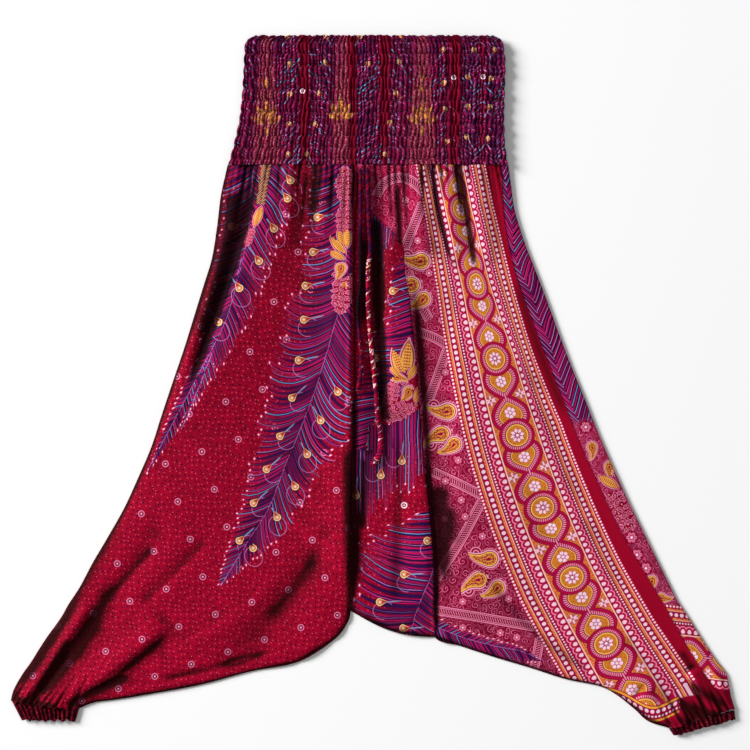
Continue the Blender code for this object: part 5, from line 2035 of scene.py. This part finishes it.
def build_cuff(cuff):
    """A flattened tube, open at both ends: rows from the leg to the open end, gathers round it."""
    draw = np.random.default_rng(cuff.seed)
    share = np.arange(CUFF_SIDES) / CUFF_SIDES
    turn = TURN * share
    round_x = 4 * np.abs(share - 0.5) - 1
    round_z = np.sqrt(1 - round_x**4) * np.where(share < 0.5, 1, -1)
    on_top = (round_z > 0).astype(float)
    phase = CUFF_GATHERS * turn + 0.8 * np.sin(3 * turn + cuff.seed) + 0.5 * np.sin(7 * turn)
    gather = 0.5 - 0.5 * np.cos(phase)
    jag = np.interp(turn, np.linspace(0, TURN, 44), draw.uniform(-1, 1, 44), period=TURN)
    layers = {0.0: [], CLOTH: []}
    for down in np.linspace(0, 1, CUFF_ROWS):
        left = np.array(cuff.top_left) * (1 - down) + np.array(cuff.end_left) * down
        right = np.array(cuff.top_right) * (1 - down) + np.array(cuff.end_right) * down
        middle, half = (left + right) / 2, (right - left) / 2
        width = np.linalg.norm(half)
        ahead = (np.array(cuff.end_left) - cuff.top_left + np.array(cuff.end_right) - cuff.top_right) / 2
        bulge = math.sin(math.pi * down) ** 0.8
        for pull, points in layers.items():
            deep = (2.8 * gather * (0.5 + 0.5 * bulge) + CUFF_TUCK * smooth(0.3, 0.0, down)) * on_top
            reach = (width - pull - 0.5 * gather) * round_x
            plan = middle + reach[:, None] * (half / width)
            plan = plan + ahead * (0.12 * jag * down)[:, None]
            high = CUFF_HEIGHT / 2 - pull - 0.4 * (1 - bulge)
            z = CUFF_HEIGHT / 2 + np.where(on_top > 0, high - deep, CUFF_HEIGHT / 2 - pull) * round_z
            points.append(np.column_stack([plan, z]))
    outside, inside = (np.vstack(layers[pull]) for pull in layers)
    r, s = np.meshgrid(np.arange(CUFF_ROWS - 1), np.arange(CUFF_SIDES), indexing="ij")
    after = (s + 1) % CUFF_SIDES
    quads = np.stack([r * CUFF_SIDES + s, r * CUFF_SIDES + after, (r + 1) * CUFF_SIDES + after,
                      (r + 1) * CUFF_SIDES + s], axis=-1).reshape(-1, 4)
    made, faces, place = wall(cuff.node + "_cloth", outside, inside, quads[:, ::-1])
    # Painted shade in the valleys of the gathers on the cuff's upper side.
    valley = np.tile(gather * on_top, 2 * CUFF_ROWS)
    write_painted_shade(made, 0.95 * valley)
    return made


for cuff in CUFFS:
    piece = build_cuff(cuff)
    piece.data.materials.append(cuff_cloth)
    declare(piece, cuff.node)

# %% [markdown]
# ## Stitches
# Rows of elastic thread cross the band, and a line of topstitching follows the centre seam. A stitch is a
# small thread segment that repeats along a line, so Geometry Nodes set it: the tree turns a polyline into a
# curve, puts a point every stitch and a short thread on each.

# %% The stitch tree
def stitch_tree():
    """A node group: lines in, threads out. Its inputs are in metres."""
    tree = bpy.data.node_groups.new("stitch_line", "GeometryNodeTree")
    face = tree.interface
    face.new_socket("Lines", in_out="INPUT", socket_type="NodeSocketGeometry")
    for name, value in (("Pitch", 0.003), ("Length", 0.002), ("Thread", 0.0003)):
        face.new_socket(name, in_out="INPUT", socket_type="NodeSocketFloat").default_value = value
    face.new_socket("Finish", in_out="INPUT", socket_type="NodeSocketMaterial")
    face.new_socket("Stitches", in_out="OUTPUT", socket_type="NodeSocketGeometry")
    add = tree.nodes.new
    inputs, outputs = add("NodeGroupInput"), add("NodeGroupOutput")
    curve = add("GeometryNodeMeshToCurve")
    spaced = add("GeometryNodeResampleCurve")
    spaced.mode = "LENGTH"
    tangent = add("GeometryNodeInputTangent")
    turned = add("FunctionNodeAlignRotationToVector")
    turned.axis = "Z"
    thread = add("GeometryNodeMeshCylinder")
    thread.inputs["Vertices"].default_value = 6
    placed = add("GeometryNodeInstanceOnPoints")
    real = add("GeometryNodeRealizeInstances")
    finish = add("GeometryNodeSetMaterial")
    for giver, output, taker, socket in (
        (inputs, "Lines", curve, "Mesh"), (curve, "Curve", spaced, "Curve"),
        (inputs, "Pitch", spaced, "Length"), (tangent, "Tangent", turned, "Vector"),
        (inputs, "Thread", thread, "Radius"), (inputs, "Length", thread, "Depth"),
        (spaced, "Curve", placed, "Points"), (thread, "Mesh", placed, "Instance"),
        (turned, "Rotation", placed, "Rotation"), (placed, "Instances", real, "Geometry"),
        (real, "Geometry", finish, "Geometry"), (inputs, "Finish", finish, "Material"),
        (finish, "Geometry", outputs, "Stitches"),
    ):
        tree.links.new(giver.outputs[output], taker.inputs[socket])
    return tree


STITCHES = stitch_tree()
print("nodes of the stitch tree:", len(STITCHES.nodes))

# %% Stitching along lines
def stitch(name, lines, pitch, length, thread, finish):
    """Threads along polylines given in millimetres, as a plain mesh that rides with the garment."""
    points = np.vstack(lines)
    starts = np.cumsum([0] + [len(line) for line in lines[:-1]])
    edges = [(s + i, s + i + 1) for s, line in zip(starts, lines) for i in range(len(line) - 1)]
    guide = put_in_scene(name + "_guide", bpy.data.meshes.new(name + "_guide"))
    guide.data.from_pydata((points * MM).tolist(), edges, [])
    modifier = guide.modifiers.new("stitches", "NODES")
    modifier.node_group = STITCHES
    sockets = {item.name: item.identifier for item in STITCHES.interface.items_tree if item.in_out == "INPUT"}
    for label, value in (("Pitch", pitch), ("Length", length), ("Thread", thread)):
        modifier[sockets[label]] = value * MM
    modifier[sockets["Finish"]] = finish
    graph = bpy.context.evaluated_depsgraph_get()
    mesh = bpy.data.meshes.new_from_object(guide.evaluated_get(graph), depsgraph=graph)
    bpy.data.objects.remove(guide)
    made = put_in_scene(name, mesh)
    mesh.shade_smooth()
    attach(made, "root")
    print(name, "faces:", len(mesh.polygons))
    return made


def plain_thread(name, colour):
    made = start_cloth(name)
    x, y, _ = plan_place()
    strand = noise(point(x, y), 1.2, 1.0)
    pen["print"] = paint(colour, dye(60, 4, 24), strand * 0.5)
    return finish_cloth(made, slub=0.1)

# %% Threads on the band and the centre seam
wine_thread = plain_thread("wine_thread", dye(130, 10, 46))
THREAD_LIFT = 0.12
front_lines = pleat_lines(FRONT_SEEDS[0], PLEAT)
shirring = []
for y in np.arange(SHIRR_FIRST, BAND_TOP - 6, SHIRR_PITCH):
    share = np.linspace(0.004, 0.996, 620)
    level = np.full(share.shape, y)
    left_x, right_x = band_edges(level)
    top = band_surface(share, level, front_lines, FRONT_SEEDS[1])
    z = BAND_BASE + BAND_CROWN * np.sin(math.pi * share) ** 0.5 + top + THREAD_LIFT
    shirring.append(np.column_stack([left_x * (1 - share) + right_x * share, level, z]))
stitch("shirring_threads", shirring, 2.3, 1.7, 0.22, wine_thread)


def seam_line(path, side, lift):
    """A line of points beside a path on the front layer."""
    ahead = np.gradient(path, axis=0)
    ahead /= np.linalg.norm(ahead, axis=1)[:, None]
    moved = path + side * np.column_stack([-ahead[:, 1], ahead[:, 0]])
    return np.column_stack([moved, cloth_height(moved[:, 0], moved[:, 1]) + lift])


fine = np.linspace(0.1, SEAM_ROWS - 1.2, 400)
centre_line = seam_line(spline(FRONT_SEAM, fine), 1.6, 0.15)
stitch("centre_seam_stitches", [centre_line], 3.4, 2.2, 0.2, wine_thread)
